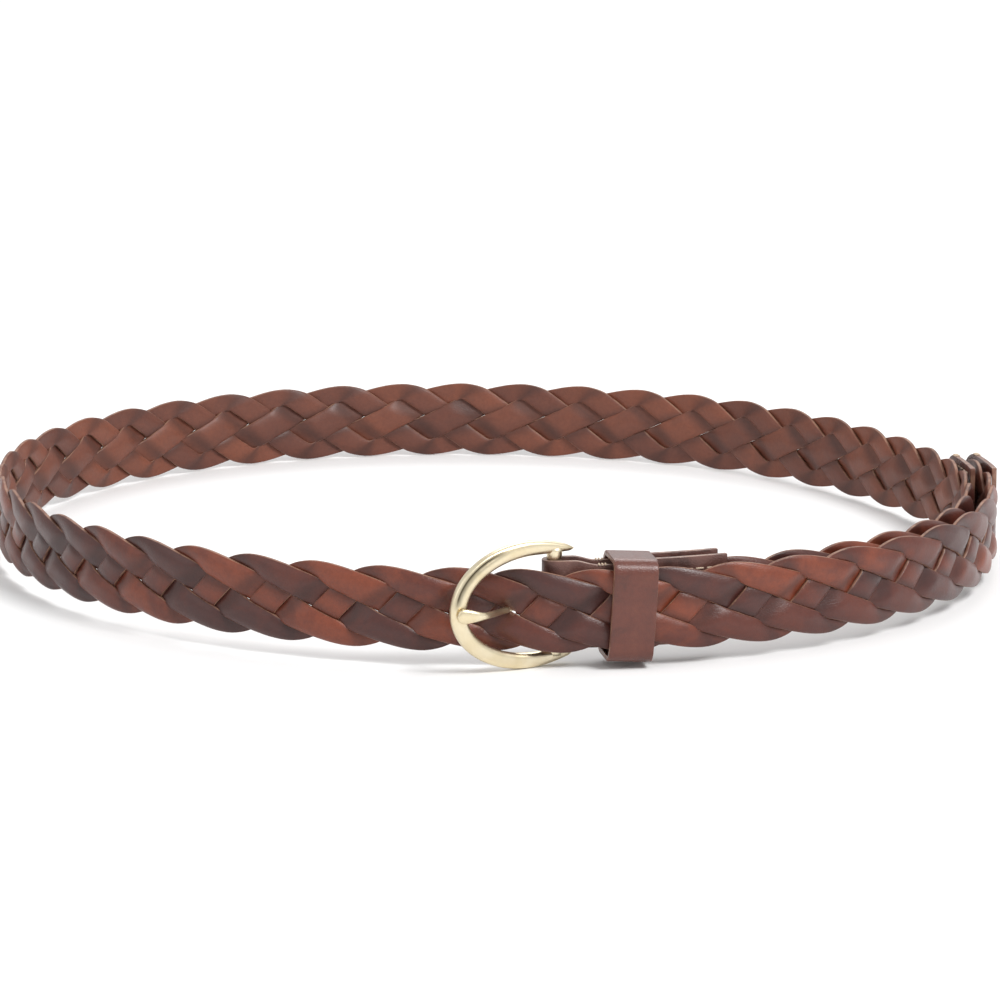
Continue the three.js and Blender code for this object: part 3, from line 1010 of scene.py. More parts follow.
class Chape(FoldedTab):
    """The tab round the buckle's bar, slotted for the prong."""

    edge_rows: int = 9
    slot_rows: int = 5

    def __init__(self) -> None:
        """Sets the fold round the bar."""
        super().__init__("chape_leather", 0.0, BUCKLE.bar_radius + BUCKLE.metal_gap, TAB.chape_length,
                         BUCKLE_LEVEL - TAB.chape_drop)
        self.slot_level = TAB.chape_drop - BUCKLE.prong_drop

    def top_swell(self, along: np.ndarray) -> np.ndarray:
        """The fold and the end from the keeper on stand a little higher.

        Args:
            along: Arc lengths from the bar.

        Returns:
            The heights.
        """
        fold = TAB.fold_swell * (1.0 - smoothstep(along, *TAB.fold_ramp))
        return fold + TAB.end_swell * smoothstep(along, *TAB.end_ramp)

    def heights(self) -> np.ndarray:
        """Rows that follow the slot's edges.

        Returns:
            The shares from -1 to 1.
        """
        low, high = ((self.slot_level + side * TAB.slot_width / 2) / (TAB.width / 2) for side in (-1.0, 1.0))
        parts = [np.linspace(-1.0, low, self.edge_rows)[:-1], np.linspace(low, high, self.slot_rows)[:-1],
                 np.linspace(high, 1.0, self.edge_rows)]
        return np.concatenate(parts)

    def keep(self, along: np.ndarray, height: np.ndarray) -> np.ndarray:
        """Leaves out the prong's slot.

        Args:
            along: Arc length of each cell.
            height: Height of each cell above the tab's middle.

        Returns:
            True where the leather stays.
        """
        return (along > TAB.slot_reach) | (np.abs(height - self.slot_level) > TAB.slot_width / 2)


class TipTab(FoldedTab):
    """The tab over the free end, with a rounded nose."""

    def __init__(self) -> None:
        """Sets the fold beyond the braid's end."""
        fold = ROUTE.braid_end + TAB.gap
        super().__init__("tip_leather", fold, BRAID_HALF, fold - TAB.tip_length, None)

    def inset(self, along: np.ndarray) -> np.ndarray:
        """The free end lies on the oval itself.

        Args:
            along: Arc lengths from the bar.

        Returns:
            Zeros.
        """
        return np.zeros(np.shape(along))

    def half_height(self, along: np.ndarray) -> np.ndarray:
        """Rounds off the nose.

        Args:
            along: Arc lengths from the bar.

        Returns:
            The half heights.
        """
        nose = self.fold_at - TAB.tip_nose + BRAID_HALF + TAB.ply
        share = np.clip((along - nose) / TAB.tip_nose, 0.0, TAB.nose_limit)
        return TAB.width / 2 * np.sqrt(1.0 - share**2)


class KeeperLoop:
    """The closed leather band round both layers."""

    corner_steps: int = 7
    side_steps: int = 12
    width_steps: int = 12
    side_from: float = 2.0

    def __init__(self, size: KeeperSize) -> None:
        """Keeps the sizes.

        Args:
            size: The keeper's sizes.
        """
        self.size = size

    def outline(self) -> np.ndarray:
        """The band's middle line as a rounded rectangle of depth and height.

        Returns:
            Points in order round the band.
        """
        size = self.size
        depth = (STACK_DEPTH + size.wall + 3 * TAB.gap) / 2
        height = (size.height - size.wall) / 2
        radius = size.corner - size.wall / 2
        points: list[tuple[float, float]] = []
        corners = ((depth, -height, -90.0), (depth, height, 0.0), (-depth, height, 90.0), (-depth, -height, 180.0))
        for x, z, start in corners:
            for step in range(self.corner_steps + 1):
                angle = math.radians(start + 90.0 * step / self.corner_steps)
                points.append((x - math.copysign(radius, x) + radius * math.cos(angle),
                               z - math.copysign(radius, z) + radius * math.sin(angle)))
        dense: list[tuple[float, float]] = []
        for a, b in zip(points, points[1:] + points[:1]):
            steps = self.side_steps if math.dist(a, b) > self.side_from else 1
            for share in np.arange(steps) / steps:
                dense.append((a[0] + (b[0] - a[0]) * share, a[1] + (b[1] - a[1]) * share))
        line = np.array(dense)
        line[:, 0] += np.sign(line[:, 0]) * size.belly * np.cos(line[:, 1] / height * math.pi / 2)
        return line

    def build(self) -> bpy.types.Object:
        """Makes the keeper's mesh.

        Returns:
            The object.
        """
        size = self.size
        depth, height = self.outline().T
        middle = size.start + size.width / 2
        centre = ROUTE.plan(middle, STACK_DEPTH / 2 - BRAID_HALF)[0]
        heading = ROUTE.heading(middle)
        level = float(ROUTE.level(centre[1]))
        rings = []
        for x in np.linspace(-0.5, 0.5, self.width_steps + 1) * size.width:
            lean_x = x * math.cos(size.lean) + height * math.sin(size.lean)
            lean_z = -x * math.sin(size.lean) + height * math.cos(size.lean)
            plan_x = lean_x * math.cos(heading) - depth * math.sin(heading) + centre[0]
            plan_y = lean_x * math.sin(heading) + depth * math.cos(heading) + centre[1]
            rings.append(ROUTE.place(np.column_stack([plan_x, plan_y]), level + lean_z))
        obj = MeshKit.tube("keeper_leather", np.array(rings), capped=False)
        MeshKit.thicken(obj)
        return obj


class BuckleFrame:
    """The cast horseshoe with its bar."""

    arm_steps: int = 64
    around: int = 28
    squareness: float = 2.7
    curve_steps: tuple[int, int] = (40, 60)
    oval_handle: float = 0.5523
    tip_rise: float = 0.6
    tip_rings: tuple[float, float] = (0.35, 3.0)
    bar_steps: int = 33
    bar_around: int = 24
    bar_sink: float = 0.6
    fillet: float = 0.7
    fillet_reach: float = 0.6
    fillet_limit: float = 0.45

    def __init__(self, size: BuckleSize) -> None:
        """Works out the frame's lean.

        Args:
            size: The buckle's sizes.
        """
        self.size = size
        along = ROUTE.length - size.shoulder
        strap = ROUTE.to_bar(along, float(ROUTE.inset(np.array([along]))[0]))[1]
        depth = strap - BRAID_HALF - size.metal_gap - size.thickness / 2
        self.lean = math.atan2(BAR_INSET - depth, size.shoulder)
        arc_middle = size.bar_to_tips - size.length + size.band / 2
        self.arc_depth = BAR_INSET + arc_middle * math.tan(self.lean)

    @staticmethod
    def bezier(points: list[tuple[float, float]], steps: int) -> np.ndarray:
        """Samples a cubic curve.

        Args:
            points: Its four control points.
            steps: Number of samples.

        Returns:
            The samples.
        """
        t = np.linspace(0.0, 1.0, steps)[:, None]
        p = np.array(points)
        return ((1 - t) ** 3) * p[0] + 3 * t * (1 - t) ** 2 * p[1] + 3 * t * t * (1 - t) * p[2] + t**3 * p[3]

    def oval_arm(self, crest: float, left: float, height: float, tip: tuple[float, float]) -> np.ndarray:
        """One outline of an arm: gently curved from the tip to the crest, then a quarter of an oval.

        Args:
            crest: Place of the crest along the strap.
            left: Place of the arc's middle.
            height: Height of the crest.
            tip: The outline's point at the tip.

        Returns:
            Points spaced evenly along the outline.
        """
        near = [tip, (tip[0] + (crest - tip[0]) / 3, tip[1] + self.tip_rise * (height - tip[1])),
                (crest + (tip[0] - crest) / 3, height), (crest, height)]
        far = [(crest, height), (crest + (left - crest) * self.oval_handle, height),
               (left, height * self.oval_handle), (left, 0.0)]
        near_steps, far_steps = self.curve_steps
        line = np.concatenate([self.bezier(near, near_steps), self.bezier(far, far_steps)[1:]])
        at = arc_lengths(line)
        return read_line(np.linspace(0.0, 1.0, self.arm_steps) * at[-1], at, line)

    def outlines(self) -> tuple[np.ndarray, np.ndarray]:
        """Outer and inner outline, from the upper tip round the arc to the lower one.

        Returns:
            The outer and the inner line, in the frame's own plane.
        """
        size = self.size
        half = size.height / 2
        slope = math.cos(self.lean)
        tips = size.bar_to_tips / slope
        left = (size.bar_to_tips - size.length) / slope
        outer = self.oval_arm(-size.crest / slope, left, half, (tips, half - size.tip_drop))
        inner = self.oval_arm(-size.inner_crest / slope, left + size.band, half - size.arm,
                              (tips, half - size.tip_drop - size.tip_band))
        both = [np.concatenate([line, (line * [1.0, -1.0])[::-1][1:]]) for line in (outer, inner)]
        return both[0], both[1]

    def build(self) -> bpy.types.Object:
        """Makes the frame's rounded band, with a crease along its upper left flank, and stores the crease as the
        mask of its painted shade.

        Returns:
            The object.
        """
        size = self.size
        outer, inner = self.outlines()
        count = len(outer)
        from_tip = np.minimum(np.arange(count), np.arange(count)[::-1])
        first, last = self.tip_rings
        swell = np.sqrt(np.clip((from_tip + first) / last, 0.0, 1.0))
        angles, across, up = rounded_square(self.around, self.squareness)
        share = np.minimum(np.arange(count) / (self.arm_steps - 1), 1.0)
        reach = smoothstep(share, *size.crease_start) * (1.0 - smoothstep(share, *size.crease_end))
        crease_and_shade = reach[:, None] * np.exp(-(((angles - size.crease_angle) / size.crease_spread) ** 2))[None, :]
        rings = []
        for i in range(count):
            middle, half = (outer[i] + inner[i]) / 2, (outer[i] - inner[i]) / 2
            flat = middle + half * across[:, None] * swell[i]
            thick = up * size.thickness / 2 * swell[i] + size.crease_depth * crease_and_shade[i]
            x = flat[:, 0] * math.cos(self.lean) - thick * math.sin(self.lean)
            depth = BAR_INSET + flat[:, 0] * math.sin(self.lean) + thick * math.cos(self.lean)
            rings.append(ROUTE.at_bar(x, depth, flat[:, 1]))
        obj = MeshKit.tube("frame_casting", np.array(rings))
        # The same mask paints shade into the crease in the brass finish.
        MeshKit.attribute(obj, "crease_and_shade", crease_and_shade.ravel())
        return obj

    def build_bar(self) -> bpy.types.Object:
        """Makes the bar with the small fillets where it joins the arms.

        Returns:
            The object.
        """
        size = self.size
        top = size.height / 2 - size.arm / 2 - self.bar_sink
        heights = np.linspace(-top, top, self.bar_steps)
        from_arm = np.maximum(top - np.abs(heights) - size.arm / 2, 0.0)
        radius = size.bar_radius + np.minimum(self.fillet * np.exp(-from_arm / self.fillet_reach), self.fillet_limit)
        angles = np.linspace(0.0, 2.0 * math.pi, self.bar_around, endpoint=False)
        rings = [ROUTE.at_bar(r * np.cos(angles), BAR_INSET + r * np.sin(angles), np.full(self.bar_around, z))
                 for z, r in zip(heights, radius)]
        return MeshKit.tube("frame_bar", np.array(rings))


class Prong:
    """The tongue: its eye round the bar, its shank through the braid, its blunt tip on the frame."""

    eye_turn: tuple[float, float] = (230.0, 540.0)
    eye_steps: int = 30
    eye_share: float = 0.75
    rim_share: float = 0.7
    shank_share: float = 0.75
    steep_share: float = 0.2
    spline_steps: int = 14
    around: int = 20
    squareness: float = 2.6
    widest: float = 1.5
    blunt_reach: float = 1.9
    blunt_least: float = 0.02
    thin_share: float = 0.55

    def __init__(self, size: BuckleSize, buckle: BuckleFrame) -> None:
        """Keeps the sizes.

        Args:
            size: The buckle's sizes.
            buckle: The frame that the tip rests on.
        """
        self.size = size
        self.buckle = buckle

    def way(self) -> np.ndarray:
        """Middle line in plan, from the eye's open end to the tip.

        Returns:
            Distances to the right of the bar, and depths.
        """
        size = self.size
        half = size.prong_thickness / 2
        eye = size.bar_radius + size.metal_gap
        inset = float(ROUTE.inset(np.array([ROUTE.prong_hole]))[0])
        hole_x, hole_y = ROUTE.to_bar(ROUTE.prong_hole, inset)
        behind = hole_y + BRAID_HALF + TAB.gap + half
        before = hole_y - BRAID_HALF - TAB.gap - half
        rest = (size.thickness / 2 + size.metal_gap + half) / math.cos(self.buckle.lean)
        on_arc = self.buckle.arc_depth - rest - size.metal_gap
        tip = size.bar_to_tips - size.length - size.prong_overhang + size.band / 2
        rim = eye + size.prong_thickness * self.rim_share
        ring = eye + half * self.eye_share
        steep = self.steep_share * size.prong_bend
        turn = np.radians(np.linspace(*self.eye_turn, self.eye_steps))
        wrap = np.column_stack([ring * np.cos(turn), BAR_INSET + ring * np.sin(turn)])
        knots = np.array([
            wrap[-1],
            [-rim - size.prong_bend, BAR_INSET + (behind - BAR_INSET) * self.shank_share],
            [hole_x + size.prong_bend, behind],
            [hole_x + steep, hole_y + (behind - hole_y) / 4],
            [hole_x - steep, hole_y + (before - hole_y) / 4],
            [hole_x - size.prong_bend, before],
            [(hole_x + tip) / 2, before + (on_arc - before) * self.shank_share],
            [tip, on_arc],
        ])
        return np.concatenate([wrap[:-1], self.spline(knots, self.spline_steps)])

    @staticmethod
    def spline(knots: np.ndarray, steps: int) -> np.ndarray:
        """A smooth line through the knots.

        Args:
            knots: The points to pass.
            steps: Samples between two knots.

        Returns:
            The samples.
        """
        padded = np.concatenate([2 * knots[:1] - knots[1:2], knots, 2 * knots[-1:] - knots[-2:-1]])
        out = []
        for p0, p1, p2, p3 in zip(padded, padded[1:], padded[2:], padded[3:]):
            for t in np.linspace(0.0, 1.0, steps, endpoint=False):
                out.append(0.5 * (2 * p1 + (p2 - p0) * t + (2 * p0 - 5 * p1 + 4 * p2 - p3) * t**2
                                  + (3 * p1 - p0 - 3 * p2 + p3) * t**3))
        return np.array([*out, knots[-1]])

    def build(self) -> bpy.types.Object:
        """Makes the prong's mesh.

        Returns:
            The object.
        """
        size = self.size
        way = self.way()
        at = arc_lengths(way)
        from_tip = at[-1] - at
        widen = 1.0 - smoothstep(from_tip, self.widest, size.prong_taper)
        width = size.prong_width + (size.prong_tip_width - size.prong_width) * widen
        to_full = 1.0 - np.minimum(from_tip, self.blunt_reach) / self.blunt_reach
        blunt = np.sqrt(np.clip(1.0 - to_full**2, self.blunt_least, 1.0))
        tangent = np.gradient(way, axis=0)
        tangent /= np.linalg.norm(tangent, axis=1)[:, None]
        side = np.column_stack([-tangent[:, 1], tangent[:, 0]])
        hole_x = ROUTE.to_bar(ROUTE.prong_hole, 0.0)[0]
        shank = slice(self.eye_steps + 1, None)
        hole_from_tip = float(np.interp(hole_x, way[shank, 0][::-1], from_tip[shank][::-1]))
        rise = size.prong_tip_rise * (1.0 - smoothstep(from_tip, 0.0, hole_from_tip))
        thick = size.prong_thickness / 2 * (self.thin_share + (1.0 - self.thin_share) * blunt)
        _, across, up = rounded_square(self.around, self.squareness)
        rings = []
        for i in range(len(way)):
            plan = way[i][None, :] + side[i][None, :] * (across * thick[i])[:, None]
            height = up * width[i] / 2 * blunt[i] - size.prong_drop + rise[i]
            rings.append(ROUTE.at_bar(plan[:, 0], plan[:, 1], height))
        return MeshKit.tube("prong_tongue", np.array(rings))


class Stitching:
    """Rows of saddle stitches, each a short thread dipping into the leather."""

    length: float = 2.3
    pitch: float = 3.1
    radius: float = 0.27
    rings: int = 9
    around: int = 8
    arch: float = 0.75
    sink: float = 0.45
    end_share: float = 0.7

    def __init__(self, name: str) -> None:
        """Starts without stitches.

        Args:
            name: Name of the object.
        """
        self.name = name
        self.points: list[np.ndarray] = []
        self.faces: list[tuple[int, ...]] = []

    def add(self, start: np.ndarray, end: np.ndarray, out: np.ndarray) -> None:
        """Adds one stitch.

        Args:
            start: Where the thread comes out, in metres.
            end: Where it goes in.
            out: Unit vector out of the leather.
        """
        way = end - start
        side = np.cross(way / np.linalg.norm(way), out)
        angles = np.linspace(0.0, 2.0 * math.pi, self.around, endpoint=False)
        circle = np.cos(angles)[:, None] * side + np.sin(angles)[:, None] * out
        base = len(self.points) * self.around
        for share in np.linspace(0.0, 1.0, self.rings):
            bow = abs(math.sin(math.pi * share))
            centre = start + way * share + out * self.radius * (bow**0.5 * self.arch - self.sink) * MM
            self.points.append(centre + self.radius * MM * (self.end_share + (1.0 - self.end_share) * bow) * circle)
        self.faces += MeshKit.tube_faces(self.rings, self.around, base)

    def along_line(self, line: np.ndarray, outs: np.ndarray) -> None:
        """Adds a row of stitches on a line.

        Args:
            line: The seam's points, in metres.
            outs: Unit vectors out of the leather, one for each point.
        """
        at = arc_lengths(line)
        pitch = self.pitch * MM
        count = max(1, int(at[-1] / pitch))
        for low in (at[-1] - count * pitch) / 2 + np.arange(count) * pitch:
            out = read_line(low, at, outs)
            self.add(read_line(low, at, line), read_line(low + self.length * MM, at, line),
                     out / np.linalg.norm(out))

    def build(self) -> bpy.types.Object:
        """Makes the mesh of all stitches.

        Returns:
            The object.
        """
        return MeshKit.mesh(self.name, np.concatenate(self.points), self.faces)


class TabSeams:
    """The seams that close the folded tabs over the braid."""

    edge_samples: int = 40
    cross_samples: int = 30
    top_threads: tuple[float, ...] = (-0.9, 0.0, 0.9)
    thread_room: float = 0.1

    def __init__(self, tab: FoldedTab, border: float, from_fold: float) -> None:
        """Keeps what the seams follow.

        Args:
            tab: The tab that is sewn.
            border: Distance of the seam from the leather's edge.
            from_fold: Distance of the seam's first cross row from the fold.
        """
        self.tab = tab
        self.border = border
        self.from_fold = from_fold

    def row(self, along: np.ndarray, height: np.ndarray, arm: float) -> tuple[np.ndarray, np.ndarray]:
        """Places a seam on one ply.

        Args:
            along: Arc lengths of the seam's points.
            height: Their heights above the tab's middle.
            arm: 1 for the inner ply, -1 for the outer one.

        Returns:
            The points and the directions out of the leather.
        """
        plan = ROUTE.plan(along, self.tab.inset(along) + arm * (BRAID_HALF + TAB.gap + TAB.ply))
        outs = np.column_stack([-arm * ROUTE.sample(along)[1], np.zeros(len(along))])
        return ROUTE.place(plan, self.tab.levels(plan) + height), outs

    def bind_top(self, stitching: Stitching, along: float) -> None:
        """Carries the cross seam's thread over the top edge of each ply.

        Args:
            stitching: The thread to add to.
            along: Arc length of the seam.
        """
        half = float(self.tab.half_height(np.array([along]))[0])
        inside = BRAID_HALF + TAB.gap
        for arm in (1.0, -1.0):
            for shift in self.top_threads:
                place = np.array([along + shift])
                sides = []
                for offset in (inside - self.thread_room, inside + TAB.ply + self.thread_room):
                    plan = ROUTE.plan(place, self.tab.inset(place) + arm * offset)
                    sides.append(ROUTE.place(plan, self.tab.levels(plan) + half + self.thread_room)[0])
                stitching.add(sides[0], sides[1], np.array([0.0, 0.0, 1.0]))

    def build(self, name: str) -> bpy.types.Object:
        """Sews both plies along the edges and across the open end.

        Args:
            name: Name of the object.

        Returns:
            The object.
        """
        tab = self.tab
        stitching = Stitching(name)
        away = math.copysign(1.0, tab.open_at - tab.fold_at)
        near = tab.fold_at + away * self.from_fold
        far = tab.open_at - away * self.border
        half = TAB.width / 2 - self.border
        for arm in (1.0, -1.0):
            for side in (1.0, -1.0):
                along = np.linspace(near, far, self.edge_samples)
                stitching.along_line(*self.row(along, side * (tab.half_height(along) - self.border), arm))
            for place in (near, far):
                height = np.linspace(-half, half, self.cross_samples)
                stitching.along_line(*self.row(np.full(self.cross_samples, place), height, arm))
        self.bind_top(stitching, near)
        return stitching.build()


class Nodes:
    """Short calls for building a node tree."""

    def __init__(self, tree: bpy.types.NodeTree) -> None:
        """Keeps the tree.

        Args:
            tree: The node tree to add to.
        """
        self.tree = tree

    def add(self, kind: str, inputs: dict[str | int, object] | None = None,
            **settings: object) -> bpy.types.Node:
        """Adds a node.

        Args:
            kind: Its type.
            inputs: Numbers, colours or output sockets for its inputs.
            **settings: Properties to set on it.

        Returns:
            The node.
        """
        node = self.tree.nodes.new(kind)
        for key, value in settings.items():
            setattr(node, key, value)
        for key, value in (inputs or {}).items():
            if isinstance(value, bpy.types.NodeSocket):
                self.tree.links.new(value, node.inputs[key])
            else:
                node.inputs[key].default_value = value
        return node

    def math(self, operation: str, a: object, b: object, clamp: bool = False) -> bpy.types.NodeSocket:
        """Adds a sum, product or other function of two numbers.

        Args:
            operation: Name of the function.
            a: First number or socket.
            b: Second number or socket.
            clamp: Whether the result stays between 0 and 1.

        Returns:
            The result.
        """
        return self.add("ShaderNodeMath", {0: a, 1: b}, operation=operation, use_clamp=clamp).outputs[0]

    def scaled(self, value: object, factor: float, shift: object = 0.0) -> bpy.types.NodeSocket:
        """Multiplies a number and adds another.

        Args:
            value: The number or socket.
            factor: What it is multiplied by.
            shift: What is added then.

        Returns:
            The result.
        """
        return self.math("ADD", self.math("MULTIPLY", value, factor), shift)

    def ramp(self, value: object, low: float, high: float, to_low: float = 0.0,
             to_high: float = 1.0) -> bpy.types.NodeSocket:
        """Adds a smooth ramp.

        Args:
            value: Number or socket that is read.
            low: Start of the ramp.
            high: End of the ramp.
            to_low: Result at the start.
            to_high: Result at the end.

        Returns:
            The result.
        """
        limits = {"Value": value, "From Min": low, "From Max": high, "To Min": to_low, "To Max": to_high}
        return self.add("ShaderNodeMapRange", limits, interpolation_type="SMOOTHSTEP").outputs["Result"]

    def mix(self, share: object, a: object, b: object) -> bpy.types.NodeSocket:
        """Adds a mix of two colours.

        Args:
            share: Share of the second colour.
            a: First colour or socket.
            b: Second colour or socket.

        Returns:
            The mixed colour.
        """
        return self.add("ShaderNodeMix", {0: share, 6: a, 7: b}, data_type="RGBA").outputs[2]

    def noise(self, vector: object, scale: float, detail: float, rough: float = 0.55,
              distortion: float = 0.0) -> bpy.types.NodeSocket:
        """Adds soft noise.

        Args:
            vector: Where it is read.
            scale: Waves in a metre.
            detail: Number of octaves.
            rough: Strength of the fine octaves.
            distortion: How far it is bent.

        Returns:
            The noise from 0 to 1.
        """
        inputs = {"Vector": vector, "Scale": scale, "Detail": detail, "Roughness": rough,
                  "Distortion": distortion}
        return self.add("ShaderNodeTexNoise", inputs).outputs["Fac"]

    def attribute(self, name: str) -> bpy.types.NodeSocket:
        """Reads a number stored on the mesh.

        Args:
            name: Name of the attribute.

        Returns:
            The number.
        """
        return self.add("ShaderNodeAttribute", attribute_name=name).outputs["Fac"]

    def object_space(self) -> bpy.types.NodeSocket:
        """Coordinates of the object itself, in metres.

        Returns:
            The coordinates.
        """
        return self.add("ShaderNodeTexCoord").outputs["Object"]

    def effect(self, group: bpy.types.NodeTree, vector: object) -> bpy.types.bpy_prop_collection:
        """Adds a shared effect.

        Args:
            group: Its node group.
            vector: Where it is read.

        Returns:
            Its outputs.
        """
        return self.add("ShaderNodeGroup", {"Vector": vector}, node_tree=group).outputs

    def surface(self, inputs: dict[str | int, object], height: object, strength: float, depth: float) -> None:
        """Ends a material with its relief, its shader and the output.

        Args:
            inputs: The shader's inputs.
            height: Height of the relief.
            strength: Strength of the relief.
            depth: Depth of the relief in metres.
        """
        relief = {"Height": height, "Strength": strength, "Distance": depth}
        normal = self.add("ShaderNodeBump", relief).outputs["Normal"]
        shader = self.add("ShaderNodeBsdfPrincipled", {**inputs, "Normal": normal})
        self.add("ShaderNodeOutputMaterial", {"Surface": shader.outputs[0]})


class EffectGroups:
    """Shader node groups that several finishes share, each made once."""

    def __init__(self) -> None:
        """Makes the groups."""
        self.grain = self.make_grain()
        self.patina = self.make_patina()

    @staticmethod
    def start(name: str) -> tuple[Nodes, bpy.types.NodeSocket]:
        """Starts a group that is read at a place.

        Args:
            name: Name of the group.

        Returns:
            The node calls and the place.
        """
        tree = bpy.data.node_groups.new(name, "ShaderNodeTree")
        tree.interface.new_socket(name="Vector", in_out="INPUT", socket_type="NodeSocketVector")
        nodes = Nodes(tree)
        return nodes, nodes.add("NodeGroupInput").outputs["Vector"]

    @staticmethod
    def finish(nodes: Nodes, results: dict[str | int, object]) -> bpy.types.NodeTree:
        """Ends a group with its outputs.

        Args:
            nodes: The group's node calls.
            results: The outputs, all numbers, by name.

        Returns:
            The group.
        """
        for label in results:
            nodes.tree.interface.new_socket(name=label, in_out="OUTPUT", socket_type="NodeSocketFloat")
        nodes.add("NodeGroupOutput", results)
        return nodes.tree

    def make_grain(self) -> bpy.types.NodeTree:
        """Leather grain: fine pebbles with pores between, and long soft creases.

        Returns:
            The group, with output Height.
        """
        nodes, vector = self.start("leather_grain")
        cells = nodes.add("ShaderNodeTexVoronoi", {"Vector": vector}, feature="DISTANCE_TO_EDGE")
        cells.inputs["Scale"].default_value = 1500.0
        pebbles = nodes.ramp(cells.outputs["Distance"], 0.0, 0.22)
        fine = nodes.noise(vector, 2600.0, detail=3.0)
        creases = nodes.noise(vector, 420.0, detail=5.0, rough=0.6, distortion=0.8)
        height = nodes.scaled(pebbles, 0.5, nodes.scaled(fine, 0.3, nodes.math("MULTIPLY", creases, 0.9)))
        return self.finish(nodes, {"Height": height})

    def make_patina(self) -> bpy.types.NodeTree:
        """Uneven dye: broad clouds, and small dark and light flecks.

        Returns:
            The group, with outputs Clouds and Flecks.
        """
        nodes, vector = self.start("dye_patina")
        clouds = nodes.noise(vector, 95.0, detail=4.0, rough=0.6, distortion=0.5)
        flecks = nodes.noise(vector, 900.0, detail=4.0, rough=0.65)
        results = {"Clouds": nodes.ramp(clouds, 0.3, 0.7), "Flecks": nodes.ramp(flecks, 0.35, 0.68)}
        return self.finish(nodes, results)


Colour = tuple[float, float, float, float]


@dataclass(frozen=True)
class Finish:
    """What all finishes have in common."""

    name: str

    def start(self) -> tuple[bpy.types.Material, Nodes]:
        """Starts the finish's material.

        Returns:
            The empty material and its node calls.
        """
        material = bpy.data.materials.new(self.name)
        material.use_nodes = True
        material.node_tree.nodes.clear()
        return material, Nodes(material.node_tree)


@dataclass(frozen=True)
class LeatherFinish(Finish):
    """A dyed leather, with its flesh side and its raw cut edges."""

    dark: Colour = (0.058, 0.018, 0.015, 1.0)
    middle: Colour = (0.098, 0.023, 0.014, 1.0)
    bright: Colour = (0.190, 0.042, 0.018, 1.0)
    flesh: Colour = (0.185, 0.056, 0.029, 1.0)
    raw: Colour = (0.300, 0.165, 0.110, 1.0)
    # Dark colour of the dye's flecks, and of the painted shade where strips slip under others.
    shadow: Colour = (0.020, 0.008, 0.007, 1.0)
    roughness: float = 0.37
    specular: float = 0.4
    coat: float = 0.12
    coat_roughness: float = 0.24
    bump: float = 0.22
    grain_depth: float = 0.00022
    cloud_tone: float = 0.35
    flesh_share: float = 0.85
    flesh_dullness: float = 0.14
    fleck_share: float = 0.16
    # Strength of the painted shade where strips slip under others.
    dive_shade_share: float = 0.5
    edge_dullness: float = 0.25

    def make(self, groups: EffectGroups) -> bpy.types.Material:
        """Makes the material.

        Args:
            groups: The shared effects.

        Returns:
            The material.
        """
        material, nodes = self.start()
        vector = nodes.object_space()
        grain = nodes.effect(groups.grain, vector)
        patina = nodes.effect(groups.patina, vector)
        tone = self.tone(nodes, patina["Clouds"])
        colour = nodes.mix(nodes.ramp(tone, 0.0, 0.55), self.dark, self.middle)
        colour = nodes.mix(nodes.ramp(tone, 0.5, 1.0), colour, self.bright)
        rough = nodes.scaled(patina["Clouds"], 0.12, self.roughness - 0.06)
        colour, rough = self.turn_flesh(nodes, tone, colour, rough)
        colour = nodes.mix(nodes.math("MULTIPLY", patina["Flecks"], self.fleck_share), colour, self.shadow)
        colour = self.shade(nodes, colour)
        edge = self.edge_mask(nodes)
        wear = nodes.ramp(nodes.noise(vector, 330.0, detail=3.0), 0.38, 0.62, 0.35, 1.0)
        colour = nodes.mix(nodes.math("MULTIPLY", edge, wear), colour, self.raw)
        nodes.surface({
            "Base Color": colour, "Roughness": nodes.scaled(edge, self.edge_dullness, rough),
            "Specular IOR Level": self.specular, "Coat Weight": self.coat, "Coat Roughness": self.coat_roughness,
        }, grain["Height"], self.bump, self.grain_depth)
        return material

    def tone(self, nodes: Nodes, clouds: bpy.types.NodeSocket) -> bpy.types.NodeSocket:
        """How light the dye is at each place.

        Args:
            nodes: The material's node calls.
            clouds: The uneven dye.

        Returns:
            The tone from 0 to 1.
        """
        return nodes.scaled(clouds, 0.55, 0.15)

    def turn_flesh(self, nodes: Nodes, tone: bpy.types.NodeSocket, colour: bpy.types.NodeSocket,
                   rough: bpy.types.NodeSocket) -> tuple[bpy.types.NodeSocket, bpy.types.NodeSocket]:
        """Colour and roughness with the flesh side; plain leather shows none.

        Args:
            nodes: The material's node calls.
            tone: How light the dye is.
            colour: The dyed colour.
            rough: Its roughness.

        Returns:
            The new colour and roughness.
        """
        return colour, rough

    def shade(self, nodes: Nodes, colour: bpy.types.NodeSocket) -> bpy.types.NodeSocket:
        """Paints shade on the places that slip under other leather; plain leather has none.

        Args:
            nodes: The material's node calls.
            colour: The colour so far.

        Returns:
            The new colour.
        """
        return colour

    def edge_mask(self, nodes: Nodes) -> bpy.types.NodeSocket:
        """Where the leather's cut edge shows.

        Args:
            nodes: The material's node calls.

        Returns:
            The mask from 0 to 1.
        """
        return nodes.ramp(nodes.attribute("cut"), 0.4, 0.9, 0.0, 0.75)


